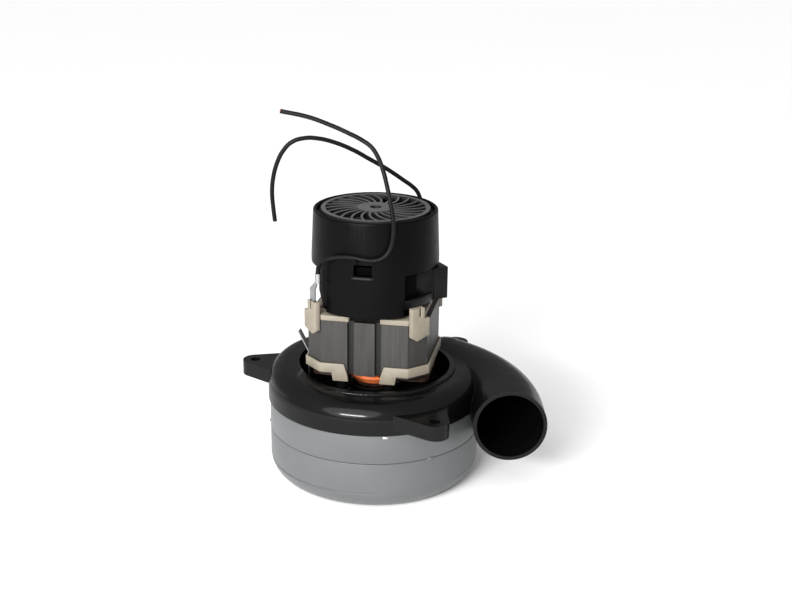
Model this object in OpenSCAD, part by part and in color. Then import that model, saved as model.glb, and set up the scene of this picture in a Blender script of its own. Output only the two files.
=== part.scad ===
// Two-stage vacuum motor with a tangential outlet horn. All sizes are in millimetres.
// The origin is on the motor axis at the level of the inlet face, +Z is up and the horn blows towards -Y.

/* [Fan case] */
// Outside diameter of the sheet-metal fan case
case_d = 144.8; // [142:0.2:148]
// Thickness of the sheet metal
case_wall = 1.2; // [0.8:0.1:1.6]
// Height of the seam between the two shells
seam_z = 35.4; // [34:0.2:37]
// Height of the top edge of the upper shell
case_h = 56.2; // [55:0.2:58]
// Radius of the rounded bottom edge of the inlet shell
case_edge_r = 16; // [12:0.5:17]
// Diameter of the inlet eye
inlet_d = 46; // [40:1:48]
// Height of the turned-in lip of each eye
eye_lip = 3; // [2:0.5:4]

/* [Fans] */
// Outside diameter of the two fans
fan_d = 124; // [116:1:130]
// Height of a fan over its two discs
fan_h = 13; // [11:0.5:13]
// Thickness of the fan and diffuser sheet
fan_sheet = 0.8; // [0.6:0.1:1.2]
// Number of curved blades in a fan
fan_blades = 7; // [5:1:9]
// Number of guide vanes in the diffuser
guide_vanes = 9; // [7:1:12]
// Outside diameter of the diffuser
diffuser_d = 134; // [128:1:138]

/* [Fan bracket] */
// Outside diameter of the moulded bracket
bracket_d = 147; // [146:0.5:149]
// Wall of the moulded bracket
bracket_wall = 3; // [2:0.5:3.5]
// Radius of the rounded shoulder
shoulder_r = 12; // [8:0.5:14]
// Height of the top of the bracket
bracket_top = 77; // [75:0.5:80]
// Diameter of the well that the motor stands in
well_d = 104; // [102:1:106]
// Radius of the circle through the ear holes
ear_circle_r = 89; // [88:0.5:92]
// Diameter of the ear holes
ear_hole_d = 7; // [4:0.5:8]
// Radius of the rounded ear tip
ear_tip_r = 9; // [7:0.5:10]
// Thickness of the ears
ear_t = 10; // [8:0.5:12]
// Height of the top face of the ears
ear_top = 70; // [68:0.5:72]
// Direction of the front ear
front_ear_turn = -64; // [-68:0.5:-62]
// Direction of the rear ear
rear_ear_turn = 47.5; // [46:0.5:52]
// Direction of the left ear
left_ear_turn = 162.5; // [158:0.5:170]

/* [Outlet horn] */
// Outside diameter of the horn
horn_d = 49; // [46:0.5:50]
// Wall of the horn
horn_wall = 2.4; // [2:0.1:3]
// Height of the horn's centre line
horn_z = 57; // [56:0.5:60]
// Distance of the mouth's centre line from the motor axis
horn_x = 89.5; // [88.5:0.5:93]
// Distance of the mouth in front of the motor axis
horn_reach = 58; // [54:1:64]
// Straight length behind the mouth
horn_straight = 18; // [14:1:22]
// Radius of the bend, at the centre line
horn_bend_r = 100; // [95:1:105]
// Angle of the bend
horn_bend = 52; // [48:1:54]

/* [Field] */
// Turn of the field about the motor axis
field_turn = -11; // [-14:1:-8]
// Width of the laminations across the poles
core_w = 81; // [80.5:0.5:83]
// Depth of the laminations from front to back
core_d = 74; // [73:0.5:76]
// Height of the bottom of the stack
core_z = 83; // [82:0.5:84]
// Height of the stack
core_h = 37.5; // [36:0.5:39]
// Bore of the field
bore_d = 45; // [44.8:0.1:45.6]
// Half of the width of a pole neck
neck_half = 13; // [11:0.5:13]
// Distance of a screw from the middle of its face
screw_x = 16; // [15.5:0.5:17]
// Diameter of the through screws
screw_d = 4; // [3.5:0.1:4.2]

/* [Insulators] */
// Height of the top edge of the lower band
band_top = 91; // [89:0.5:93]
// Wall of the lower band
band_wall = 1.5; // [1.2:0.1:2]
// Thickness of the lower insulator plate
lower_plate_t = 2; // [1.5:0.1:2.5]
// Thickness of the upper insulator plate
upper_plate_t = 3.5; // [3:0.1:4]
// Width of a terminal tower
tower_w = 14.2; // [13:0.2:15]
// Thickness of a terminal tower
tower_t = 3.4; // [3:0.1:4]
// Height of the top of the towers
tower_top = 133; // [131:0.5:134.5]

/* [Rotor] */
// Diameter of the shaft at the fans
fan_seat_d = 10; // [8:0.5:10]
// Diameter of the shaft in the armature
armature_seat_d = 12; // [11:0.5:13]
// Diameter of the shaft at the upper bearing
top_seat_d = 8; // [7:0.5:8]
// Air gap between armature and poles
air_gap = 0.5; // [0.3:0.1:0.8]
// Number of armature slots
slots = 12; // [10:2:12]
// Diameter of the commutator
commutator_d = 28; // [26:0.5:29]
// Number of commutator bars
bars = 24; // [20:2:24]

/* [Bearings] */
// Outside diameter of the lower bearing
lower_bearing_d = 26; // [25:0.5:27]
// Width of the lower bearing
lower_bearing_w = 8; // [7:0.5:8]
// Outside diameter of the upper bearing
upper_bearing_d = 22; // [21:0.5:23]
// Width of the upper bearing
upper_bearing_w = 7; // [6:0.5:7]

/* [Brushes] */
// Height of the brush axis
brush_z = 145; // [144.5:0.5:146]
// Width of a carbon brush
brush_w = 11; // [9:0.5:11.5]
// Height of a carbon brush
brush_h = 6.5; // [5.5:0.5:7]
// Length of a carbon brush
brush_len = 14; // [12:0.5:15]
// Wire of the brush springs
spring_wire = 0.8; // [0.6:0.1:0.8]
// Number of curls of a brush spring
spring_curls = 5; // [4:1:5]

/* [Cover] */
// Outside diameter of the cover at its lower rim
cover_d = 86; // [85.5:0.1:87]
// Outside diameter of the cover at the top
cover_top_d = 83.4; // [83:0.1:84.4]
// Wall of the cover
cover_wall = 2.5; // [2:0.1:2.6]
// Overall height of the motor
cover_top = 189.7; // [189:0.1:192]
// Height of the lower rim between the legs
rim_z = 154; // [153.5:0.1:155]
// Height of the bottom of the legs
leg_z = 125.5; // [125:0.1:127]
// Half of the angle that a leg covers
leg_half = 37.5; // [34:0.5:40]
// Width of the snap windows
window_w = 12.4; // [10:0.2:14]
// Number of swirled grille ribs
grille_ribs = 24; // [18:1:28]

/* [Terminal box] */
// Length of the terminal box
box_len = 26; // [24:0.5:27]
// Depth of the terminal box
box_depth = 17.5; // [15:0.5:18]
// Height of the bottom of the box
box_z = 130; // [129:0.5:131]
// Height of the box
box_h = 22; // [20:0.5:23]

/* [Lead wires] */
// Diameter of the insulated lead wires
lead_d = 2.9; // [2.4:0.1:3]

/* [Hidden] */
$fn = 96;

// Clearances
fit = 0.02;
slide_gap = 0.15;
seat_gap = 0.2;
run_gap = 0.3;
seam_gap = 0.4;

// Fan case, fans and diffuser
case_r = case_d / 2;
inlet_r = inlet_d / 2;
stage_eye_r = inlet_r - 1;
fan_eye_r = inlet_r + 1;
fan_r = fan_d / 2;
first_fan_z = case_wall + eye_lip + run_gap;
diffuser_z = first_fan_z + fan_h + 1.3;
guide_h = 10.8;
stage_z = diffuser_z + fan_sheet + guide_h;
second_fan_z = stage_z + case_wall + eye_lip + run_gap;
skirt_r = case_r - case_wall - seat_gap;
crease_z = case_edge_r - 2;
crease_r = 0.45;
blade_bend = 45;
guide_bend = 55;

// Shaft stack below the lower bearing
fan_seat_r = fan_seat_d / 2;
spacer_r = fan_seat_r + 2.5;
first_disc_z = first_fan_z + fan_h - fan_sheet;
second_disc_z = second_fan_z + fan_h - fan_sheet;
washer_t = 1.2;
nut_h = 6;
nut_r = 7.5;
shaft_bottom = first_disc_z - washer_t - nut_h - 2;

// Fan bracket
bracket_r = bracket_d / 2;
well_r = well_d / 2;
channel_r = well_r + bracket_wall;
spigot_r = case_r - case_wall - seat_gap;
floor_z = second_fan_z + fan_h + 4.6;
floor_t = 4;
floor_top = floor_z + floor_t;
spigot_z = floor_z - 2;
shoulder_z = bracket_top - shoulder_r;
rim_w = 4;
rim_h = 1.4;
rim_edge = 1;
swell_turn = 145;
swell_tilt = 3.3;
swell_lift = 1.2;
swell_in = 0.8;
swell_root = 4;
swell_void = 2.5;
lower_bearing_z = floor_top + 1.5;
lower_bearing_top = lower_bearing_z + lower_bearing_w;
lower_bearing_r = lower_bearing_d / 2;
boss_r = lower_bearing_r + 4;
rib_t = 2.5;
rib_h = 5;
rib_count = 6;
EARS = [front_ear_turn, rear_ear_turn, left_ear_turn];
ear_back_turn = 17;
ear_front_turn = 14;
ear_root = 1.5;
post_r = 3.6;
screw_seat = 4;
shaft_clear = 1.5;

// Outlet horn
horn_r = horn_d / 2;
horn_bore_r = horn_r - horn_wall;
bend_x = horn_x - horn_bend_r;
bend_y = horn_straight - horn_reach;
horn_swell = 0.4;
horn_seat = 1.1;
channel_lap = 0.6;

// Field, seen in axes that turn with it: the poles lie on X and the legs of the cover on Y
core_a = core_w / 2;
core_b = core_d / 2;
core_top = core_z + core_h;
chamfer_x = 11.3;
chamfer_y = 11;
mitre = tan(22.5);
bore_r = bore_d / 2;
shoe_t = 4;
shoe_half = 58;
side_yoke = 7.5;
face_yoke = 9;
window_a = core_a - side_yoke;
window_b = core_b - face_yoke;
window_step = 3.2;
groove_x = 9.2;
groove_w = 4.4;
groove_t = 3;
screw_y = core_b - 5;
screw_r = screw_d / 2;
SCREWS = [[-screw_x, -screw_y], [screw_x, screw_y]];
POSTS = [for (sx = [-1, 1], sy = [-1, 1]) [sx * screw_x, sy * screw_y]];

// Insulators
band_h = 6.5;
band_z = band_top - band_h;
band_gap = 0.3;
lower_plate_z = core_z - lower_plate_t;
upper_plate_top = core_top + upper_plate_t;
front_gap_half = 10.5;
foot_z = 78.8;
tower_bottom = 110;
tower_rise = 3;
tower_angle = atan2(chamfer_x, chamfer_y);
tower_x = core_a - chamfer_x / 2;
tower_y = core_b - chamfer_y / 2;
tower_shift = 0.2;
tower_apex = 2.5;
TOWER_SLOTS = [-4.4, 0.4];
slot_in = 1.2;
pocket_w = 1.4;
pocket_depth = 6;
pocket_half = tower_w / 2 - 1.5;
plate_in = 3;
plate_in_w = 2 * (core_b - chamfer_y) - 2;
plate_arm_w = 8;
plate_arm = 10;
upper_plate_r = norm([core_a, core_b]);
lower_plate_r = bore_r + 7;

// Field coils
coil_in = bore_r + 2.5;
coil_out = window_a - 0.4;
coil_half = 20;
coil_bore_half = neck_half + 0.5;
coil_mid = (lower_plate_z + upper_plate_top) / 2;
coil_bore_h = (upper_plate_top - lower_plate_z) / 2 + 0.5;
coil_t = 5;
coil_h = coil_bore_h + coil_t;
coil_corner_r = 11.5;
coil_wire = 1;
coil_loops = 5;
coil_lay_gap = 0.7;
turn_lay_gap = 0.3;
loop_half = coil_half + coil_lay_gap + coil_wire / 2;
loop_h = coil_h + coil_lay_gap + coil_wire / 2;
loop_square = 5;
loop_steps = 24;
end_turn_in = coil_out + coil_lay_gap;
end_turn_out = 38;
end_turn_half = 17;
end_turn_h = 5.3;
end_turn_round = 1.8;
end_link_half = 9;
end_link_h = 4;
end_link_in = 2;

// Rotor
armature_r = bore_r - air_gap;
armature_seat_r = armature_seat_d / 2;
top_seat_r = top_seat_d / 2;
commutator_r = commutator_d / 2;
slot_r = 2.4;
slot_circle_r = armature_r - 4.4;
slot_mouth = 2;
wire_fill_r = slot_r - seat_gap;
bundle_r = armature_r - 2.5;
bundle_in = armature_seat_r + 2;
bundle_low_z = 69;
bundle_top_z = 133.5;
bundle_slope = 4.5;
bundle_gap = 0.5;
commutator_z = bundle_top_z + 1.5;
commutator_h = 19;
riser_h = 3;
riser_t = 2;
bar_slot = 0.6;
bar_depth = 1.2;
turn_wire = 1;
turn_loops = 5;
turn_pitch = 1.45;
turn_r = bundle_r + turn_lay_gap + turn_wire / 2;
upper_bearing_z = 160;
upper_bearing_top = upper_bearing_z + upper_bearing_w;
upper_bearing_r = upper_bearing_d / 2;
cooling_fan_z = 170;
cooling_fan_r = 35;
cooling_hub_r = 9;
cooling_blades = 12;
cooling_blade_t = 1.2;
cooling_h = 11;
shaft_top = cooling_fan_z + cooling_h;

// Bearing rings
lower_race_t = 2.4;
upper_race_t = 2.2;
lower_inner_r = fan_seat_r + lower_race_t;
lower_outer_r = lower_bearing_r - lower_race_t;
upper_inner_r = top_seat_r + upper_race_t;
upper_outer_r = upper_bearing_r - upper_race_t;
ball_gap = 0.15;
ball_count = 8;
shield_t = 0.5;

// Commutator bracket
collar_r = 38;
collar_wall = 3;
collar_top = 159;
collar_side_z = coil_mid + loop_h + coil_wire / 2 + 1;
arch_half = loop_half + coil_wire / 2 + 2.3;
arch_top_half = 14.5;
arch_foot = 0.5;
spider_t = 3;
hub_wall = 3.5;
hub_top = upper_bearing_top + 1;
seat_ring_r = cover_d / 2 - cover_wall - run_gap;
seat_ring_t = 2;
hub_hole_r = upper_inner_r + 2;
lug_r = 4.2;
lug_h = 5;
head_r = 3.4;
head_h = 3;
catch_z = rim_z - 1;
catch_h = 1.4;
catch_reach = cover_d / 2 - 0.6;
sleeve_wall = 2;
sleeve_in = 18.5;

// Brush gear, along the radius towards the front
tube_wall = 0.8;
tube_w = brush_w + 2 * slide_gap;
tube_h = brush_h + 2 * slide_gap;
tube_out_w = tube_w + 2 * tube_wall;
tube_out_h = tube_h + 2 * tube_wall;
tube_in = commutator_r + 1.5;
tube_out = collar_r - 0.1;
brush_in = commutator_r + run_gap;
brush_out = brush_in + brush_len;
cap_in = collar_r + 0.1;
cap_t = 1.2;
plug_len = 1.5;
spring_in = brush_out + 0.1;
spring_out = cap_in - plug_len - 0.1;
spring_r = 2.3;
spring_steps = 8;

// Cover and grille
cover_r = cover_d / 2;
cover_top_r = cover_top_d / 2;
rim_round = cover_wall / 2;
draft_z = rim_z + 4;
window_z = rim_z - 1.4;
window_h = 9.4;
shelf_z = 184.5;
shelf_t = 2;
grille_r = cover_top_r - cover_wall - 2.7;
shelf_in = grille_r - 2;
grille_ring = 3;
grille_hub_r = 12.5;
grille_hole_r = 4;
grille_bend = 25;
grille_rib_t = 1.5;
grille_z = shelf_z + shelf_t;
grille_h = cover_top + 0.2 - grille_z;
hook_w = 2.5;
hook_x = -13.4;
hook_y = -39.2;
hook_z = 163.6;

// Terminal box: its front right corner and the direction of its front face
box_corner_x = 48.7;
box_corner_y = -10.8;
box_corner = [box_corner_x, box_corner_y];
box_in_r = 31;
box_front = 8;
box_turn = 26;
lid_len = 10.5;
lid_gap = 0.3;
box_arm_t = 3.2;
box_arm_h = 6;
box_arm_turn = [-62, -22.5];

// Lead terminal and earth tab
barrel_r = 1.95;
barrel_h = 6.6;
crimp_side = 6;
crimp_in = 1;
crimp_shift = tower_shift + crimp_side;
crimp_local = [tower_x, tower_y] + turned([band_gap + tower_t / 2 - crimp_in, crimp_shift], tower_angle);
crimp = turned(crimp_local, field_turn + 180);
crimp_z = tower_top + 13;
blade_w = 6.3;
blade_side = 4.8;
blade_neck = 5;
blade_foot = 1;
blade_t = 0.8;
tab_w = 6.3;
tab_x = (well_r + core_a + band_gap + band_wall) / 2 - blade_t / 2;
tab_foot = 5;
tab_rise = 28;
tab_len = 15.5;
tab_lean = 27;

// Routes of the lead wires, as points along their centre lines
lead_r = lead_d / 2;
lead_low = crimp_z + blade_foot;
lead_up = lead_low + barrel_h;
FRONT_ROUTE = [[crimp[0], crimp[1], lead_low], [crimp[0], crimp[1], lead_up], [-36.9, -31, 158],
  [-35, -33, 161.4], [-32, -35, 163.6], [-28.4, -36.8, 165.2], [-22, -39.4, 166.8], [-15, -42.4, 167.4],
  [-8, -44.4, 166.6], [-1.5, -45, 166.2], [4.6, -44.8, 168], [8.8, -44, 172.8], [10.8, -43.6, 180],
  [11.3, -43.4, 188.5], [10.7, -43.4, 196], [9.4, -43, 203.5], [7.2, -41, 213.5], [4, -38, 225],
  [0.8, -36, 232.4], [-3, -34, 237.6], [-8, -32, 241], [-18.5, -30, 246], [-30.5, -28, 250.8],
  [-43, -26, 254.8], [-60.5, -24, 258]];
REAR_ROUTE = [[-crimp[0], -crimp[1], lead_low], [-crimp[0], -crimp[1], lead_up], [36.6, 30.2, 160],
  [34.8, 31, 167.4], [33, 32, 175.6], [31.6, 32.8, 183], [30.4, 32.6, 188], [28.2, 31, 193],
  [24.4, 28.2, 197.4], [18.4, 24, 202.6], [7.4, 18, 211.4], [-4.6, 12, 219.6], [-16, 7, 227], [-28.4, 3, 232.8],
  [-38, 1, 235.4], [-46.6, 0, 235.8], [-55.2, -1, 233.2], [-61, -1, 227.2], [-65, -1, 219.2],
  [-67.8, -1, 208.6], [-68.6, -1, 199.6], [-67.8, -1, 187], [-67, -1, 179.8]];

// Point turned about the origin by an angle
function turned(p, a) = [p[0] * cos(a) - p[1] * sin(a), p[0] * sin(a) + p[1] * cos(a)];

// Angle that a blade turns through between two radii when it leaves the inner one along a radius
function vane_angle(r_in, r_out, bend) = atan2(bend, r_in)
  + asin((r_out * r_out - r_in * r_in - 2 * bend * bend) / (2 * bend * sqrt(r_in * r_in + bend * bend)));

// Outline of the laminations, moved outwards by a distance
function core_points(out) = [for (s = [[1, 1], [-1, 1], [-1, -1], [1, -1]])
  each s[0] * s[1] > 0
    ? [[s[0] * (core_a + out), s[1] * (core_b - chamfer_y + out * mitre)],
       [s[0] * (core_a - chamfer_x + out * mitre), s[1] * (core_b + out)]]
    : [[s[0] * (core_a - chamfer_x + out * mitre), s[1] * (core_b + out)],
       [s[0] * (core_a + out), s[1] * (core_b - chamfer_y + out * mitre)]]];

// Point where a line from p touches a circle, on the side given by its sign
function touch_point(p, centre, r, side) =
  let (v = p - centre, a = atan2(v[1], v[0]) + side * acos(r / norm(v)))
  centre + r * [cos(a), sin(a)];

// Root of a number that keeps its sign
function signed_root(x, n) = sign(x) * pow(abs(x), 1 / n);

// Unit vector, and the tangent of a line of points at one of them
function unit(v) = v / norm(v);
function tangent(p, i) = unit(p[min(i + 1, len(p) - 1)] - p[max(i - 1, 0)]);

// Least distance between two points of a line that are at least a given number of steps apart
function least_gap(p, steps) = min([for (i = [0 : len(p) - 1 - steps], j = [i + steps : len(p) - 1])
  norm(p[i] - p[j])]);

// Spring along +Y from y0 to y1, with one wire's length of straight end at each side
function spring_points(y0, y1, r, wire, curls, steps) =
  let (n = curls * steps, body = [for (i = [0 : n])
    [r * cos(360 * i / steps), y0 + wire / 2 + (y1 - y0 - wire) * i / n, r * sin(360 * i / steps)]])
  concat([body[0] - wire * tangent(body, 0)], body, [body[n] + wire * tangent(body, n)]);

// Loops of the coil's outer layer round a pole, with a straight end at each side
function coil_points() =
  let (n = coil_loops * loop_steps - loop_steps / 2, body = [for (i = [0 : n])
    let (a = 360 * i / loop_steps)
    [coil_in + coil_wire / 2 + (coil_out - coil_in - coil_wire) * i / n,
     loop_half * signed_root(cos(a), loop_square / 2),
     coil_mid + loop_h * signed_root(sin(a), loop_square / 2)]])
  concat([body[0] - coil_wire * tangent(body, 0)], body, [body[n] + coil_wire * tangent(body, n)]);

// Turns of the armature's lower winding end
function turn_points() =
  let (n = turn_loops * loop_steps, body = [for (i = [0 : n])
    [turn_r * cos(360 * i / loop_steps), turn_r * sin(360 * i / loop_steps),
     core_z - bundle_gap - turn_wire - turn_pitch * i / loop_steps]])
  concat([body[0] - turn_wire * tangent(body, 0)], body, [body[n] + turn_wire * tangent(body, n)]);

// Round tube swept along points, with its sides set out from the direction ref
module tube(p, r, sides, ref) {
  n = len(p);
  rings = [for (i = [0 : n - 1])
    let (t = tangent(p, i), u = unit(cross(t, ref)), v = cross(t, u))
    each [for (k = [0 : sides - 1]) p[i] + r * (cos(360 * k / sides) * u + sin(360 * k / sides) * v)]];
  walls = [for (i = [0 : n - 2], k = [0 : sides - 1])
    let (a = i * sides + k, b = i * sides + (k + 1) % sides)
    each [[a, a + sides, b], [b, a + sides, b + sides]]];
  first = [for (k = [1 : sides - 2]) [0, k, k + 1]];
  last = [for (k = [1 : sides - 2]) (n - 1) * sides * [1, 1, 1] + [0, k + 1, k]];
  polyhedron(points = rings, faces = concat(walls, first, last), convexity = 10);
}

// Flat ring standing on z = 0
module ring(r_out, r_in, h) {
  linear_extrude(h) difference() {
    circle(r_out);
    circle(r_in);
  }
}

// Sector of a ring, from one angle to another
module ring_sector(r_out, r_in, h, turns) {
  rotate(turns[0]) rotate_extrude(angle = turns[1] - turns[0]) translate([r_in, 0]) square([r_out - r_in, h]);
}

// Quarter of a disc, to round the corner of a profile
module quarter(r) {
  intersection() {
    circle(r);
    square(r);
  }
}

// Rectangle with round corners, about the origin
module round_rect(w, h, r) {
  square([w - 2 * r, h], center = true);
  square([w, h - 2 * r], center = true);
  for (sx = [-1, 1], sy = [-1, 1]) translate([sx * (w / 2 - r), sy * (h / 2 - r)]) circle(r);
}

// Upright blade that leaves r_in along a radius and bends round to r_out
module arc_vane(r_in, r_out, bend, thick, h) {
  translate([r_in, bend, 0]) rotate(-90)
    rotate_extrude(angle = vane_angle(r_in, r_out, bend)) translate([bend - thick / 2, 0]) square([thick, h]);
}

// Half profile of a cup with a rounded bottom edge
module cup_profile(r, h, edge) {
  polygon([[0, 0], [r - edge, 0], [r - edge, edge], [r, edge], [r, h], [0, h]]);
  translate([r - edge, edge]) rotate(-90) quarter(edge);
}

module inlet_shell() {
  color("lightslategray") rotate_extrude() {
    difference() {
      cup_profile(case_r, seam_z, case_edge_r);
      translate([0, case_wall]) cup_profile(case_r - case_wall, seam_z, case_edge_r - case_wall);
      square([inlet_r, seam_z]);
      translate([case_r, crease_z]) circle(crease_r);
    }
    translate([inlet_r, 0]) square([case_wall, case_wall + eye_lip]);
  }
}

module upper_shell() {
  step_z = seam_z + seam_gap;
  color("lightslategray") rotate_extrude() {
    polygon([[stage_eye_r, stage_z], [skirt_r, stage_z], [skirt_r, step_z], [case_r, step_z], [case_r, case_h],
      [case_r - case_wall, case_h], [case_r - case_wall, step_z + case_wall],
      [skirt_r - case_wall, step_z + case_wall], [skirt_r - case_wall, stage_z + case_wall],
      [stage_eye_r, stage_z + case_wall]]);
    translate([stage_eye_r, stage_z]) square([case_wall, case_wall + eye_lip]);
  }
}

module diffuser() {
  color("gainsboro") translate([0, 0, diffuser_z]) {
    ring(diffuser_d / 2, spacer_r + 1, fan_sheet);
    for (i = [0 : guide_vanes - 1]) rotate(i * 360 / guide_vanes) mirror([0, 1, 0])
      translate([0, 0, fan_sheet / 2])
        arc_vane(inlet_r + 4, diffuser_d / 2 - 1, guide_bend, fan_sheet, guide_h + fan_sheet / 2);
  }
}

// Fan with a bottom disc round its eye, a top disc on the shaft and curved blades between
module fan(z) {
  translate([0, 0, z]) {
    ring(fan_r, fan_eye_r, fan_sheet);
    translate([0, 0, fan_h - fan_sheet]) ring(fan_r, fan_seat_r + fit, fan_sheet);
    for (i = [0 : fan_blades - 1]) rotate(i * 360 / fan_blades) translate([0, 0, fan_sheet / 2])
      arc_vane(fan_eye_r + 0.5, fan_r - 0.5, blade_bend, fan_sheet, fan_h - fan_sheet);
  }
}

module first_stage_fan() {
  color("silver") fan(first_fan_z);
}

module second_stage_fan() {
  color("silver") fan(second_fan_z);
}

// Half profile of a ring or disc with its upper outer corner rounded
module rounded_top(r_in, r_out, low, top, edge) {
  polygon([[r_in, low], [r_out, low], [r_out, top - edge], [r_out - edge, top - edge], [r_out - edge, top],
    [r_in, top]]);
  translate([r_out - edge, top - edge]) quarter(edge);
}

// Tilt of the volute, which grows taller towards the horn
module volute_tilt() {
  translate([0, 0, shoulder_z + swell_lift]) rotate(swell_turn) rotate([0, -swell_tilt, 0])
    translate([0, 0, -shoulder_z]) children();
}

// Outside of the volute: spigot, ring and the rim round the well
module volute_outside() {
  rotate_extrude() {
    translate([0, spigot_z]) square([spigot_r, case_h + bracket_wall / 2 - spigot_z]);
    rounded_top(0, bracket_r, case_h, bracket_top, shoulder_r);
    rounded_top(0, well_r + rim_w, shoulder_z, bracket_top + rim_h, rim_edge);
  }
}

// Swell of the volute, which rises out of the ring
module volute_swell() {
  volute_tilt() rotate_extrude()
    rounded_top(0, bracket_r - swell_in, shoulder_z - swell_root, bracket_top, shoulder_r);
}

// Air channel inside the volute, open at the fan side
module volute_inside() {
  top = bracket_top - bracket_wall;
  edge = shoulder_r - bracket_wall;
  rotate_extrude() {
    rounded_top(channel_r, bracket_r - bracket_wall, case_h + bracket_wall, top, edge);
    translate([channel_r, spigot_z - 1])
      square([spigot_r - bracket_wall - channel_r, case_h + bracket_wall - spigot_z + 2]);
    translate([0, spigot_z - 1]) square([channel_r + 1, floor_z - spigot_z + 1]);
  }
  volute_tilt() rotate_extrude()
    rounded_top(channel_r + swell_in, bracket_r - swell_in - bracket_wall, shoulder_z - swell_void, top, edge);
}

// Bent horn of radius r: straight mouth, bend and a round start inside the volute
module horn_form(r, past_mouth) {
  translate([horn_x, bend_y, horn_z]) rotate([90, 0, 0]) cylinder(r = r, h = horn_straight + past_mouth);
  translate([bend_x, bend_y, horn_z]) rotate_extrude(angle = horn_bend) translate([horn_bend_r, 0]) circle(r);
  translate([bend_x, bend_y, horn_z]) rotate(horn_bend) translate([horn_bend_r, 0, 0]) sphere(r + horn_swell);
}

// Fixing ear whose two sides run from the ring to a round tip
module ear() {
  tip = [ear_circle_r, 0];
  root_r = bracket_r - ear_root;
  back = root_r * [cos(ear_back_turn), -sin(ear_back_turn)];
  front = root_r * [cos(ear_front_turn), sin(ear_front_turn)];
  translate([0, 0, ear_top - ear_t]) linear_extrude(ear_t) {
    polygon([back, touch_point(back, tip, ear_tip_r, 1), tip, touch_point(front, tip, ear_tip_r, -1), front]);
    translate(tip) circle(ear_tip_r);
  }
}

module fan_bracket() {
  sky = horn_z + horn_d;
  color("darkslategray") difference() {
    union() {
      difference() {
        union() {
          volute_outside();
          difference() {
            union() {
              volute_swell();
              horn_form(horn_r, 0);
              for (turn = EARS) rotate(turn) ear();
            }
            cylinder(r = case_r + run_gap, h = case_h + bracket_wall / 2);
          }
        }
        volute_inside();
        difference() {
          horn_form(horn_bore_r, 1);
          cylinder(r = case_r + run_gap + horn_wall, h = case_h + bracket_wall + horn_seat);
          cylinder(r = channel_r + channel_lap, h = sky);
        }
        translate([0, 0, floor_top]) cylinder(r = well_r, h = sky);
      }
      translate([0, 0, floor_z]) cylinder(r = boss_r, h = lower_bearing_top - floor_z);
      for (i = [0 : rib_count - 1]) rotate(field_turn + 30 + i * 360 / rib_count)
        translate([boss_r - 1, -rib_t / 2, floor_top - 1]) cube([well_r - boss_r + 2, rib_t, rib_h + 1]);
      rotate(field_turn) for (p = POSTS) translate([p[0], p[1], floor_top - 1])
        cylinder(r = post_r, h = lower_plate_z - floor_top + 1);
    }
    translate([0, 0, lower_bearing_z]) cylinder(r = lower_bearing_r + fit, h = lower_bearing_w + 1);
    translate([0, 0, floor_z - 1]) cylinder(r = spacer_r + shaft_clear, h = lower_bearing_z - floor_z + 2);
    for (turn = EARS) rotate(turn) translate([ear_circle_r, 0, ear_top - ear_t - 1])
      cylinder(d = ear_hole_d, h = ear_t + 2);
    rotate(field_turn) for (p = SCREWS) translate([p[0], p[1], floor_top + screw_seat])
      cylinder(r = screw_r + fit, h = core_z - floor_top);
  }
}

module field_core() {
  color("dimgray") rotate(field_turn) translate([0, 0, core_z]) difference() {
    union() {
      linear_extrude(core_h) difference() {
        polygon(core_points(0));
        square([2 * window_a, 2 * (window_b - window_step)], center = true);
        square([2 * (window_a - chamfer_x / 2), 2 * window_b], center = true);
        for (sx = [-1, 1], sy = [-1, 1]) translate([sx * groove_x, sy * core_b])
          square([groove_w, 2 * groove_t], center = true);
      }
      for (side = [0, 180]) rotate(side) {
        ring_sector(bore_r + shoe_t, bore_r, core_h, [-shoe_half, shoe_half]);
        translate([bore_r + 1, -neck_half, 0]) cube([window_a - bore_r, 2 * neck_half, core_h]);
      }
    }
    for (p = SCREWS) translate([p[0], p[1], -1]) cylinder(r = screw_r + seat_gap, h = core_h + 2);
  }
}

// Plate of an insulator out to a reach, with arms over the posts, open at the bore, the coils, the screws
// and the middle of both faces, and drawn in at the sides
module insulator_plate(t, side_in, reach) {
  linear_extrude(t) difference() {
    intersection() {
      polygon(core_points(0));
      union() {
        circle(reach);
        for (p = POSTS) translate(p) square([plate_arm_w, 2 * plate_arm], center = true);
      }
    }
    circle(bore_r + 1.5);
    for (sx = [-1, 1], sy = [-1, 1]) {
      translate([sx * (coil_in + coil_out) / 2, sy * (neck_half + coil_half) / 2 + sy * 0.8])
        square([coil_out - coil_in + 1, coil_half - neck_half + 2], center = true);
      translate([sx * screw_x, sy * screw_y]) circle(screw_r + seat_gap);
    }
    for (sy = [-1, 1]) translate([0, sy * core_b]) square([2 * front_gap_half, 2 * face_yoke], center = true);
    if (side_in > 0) for (sx = [-1, 1]) translate([sx * core_a, 0])
      square([2 * side_in, plate_in_w], center = true);
  }
}

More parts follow.
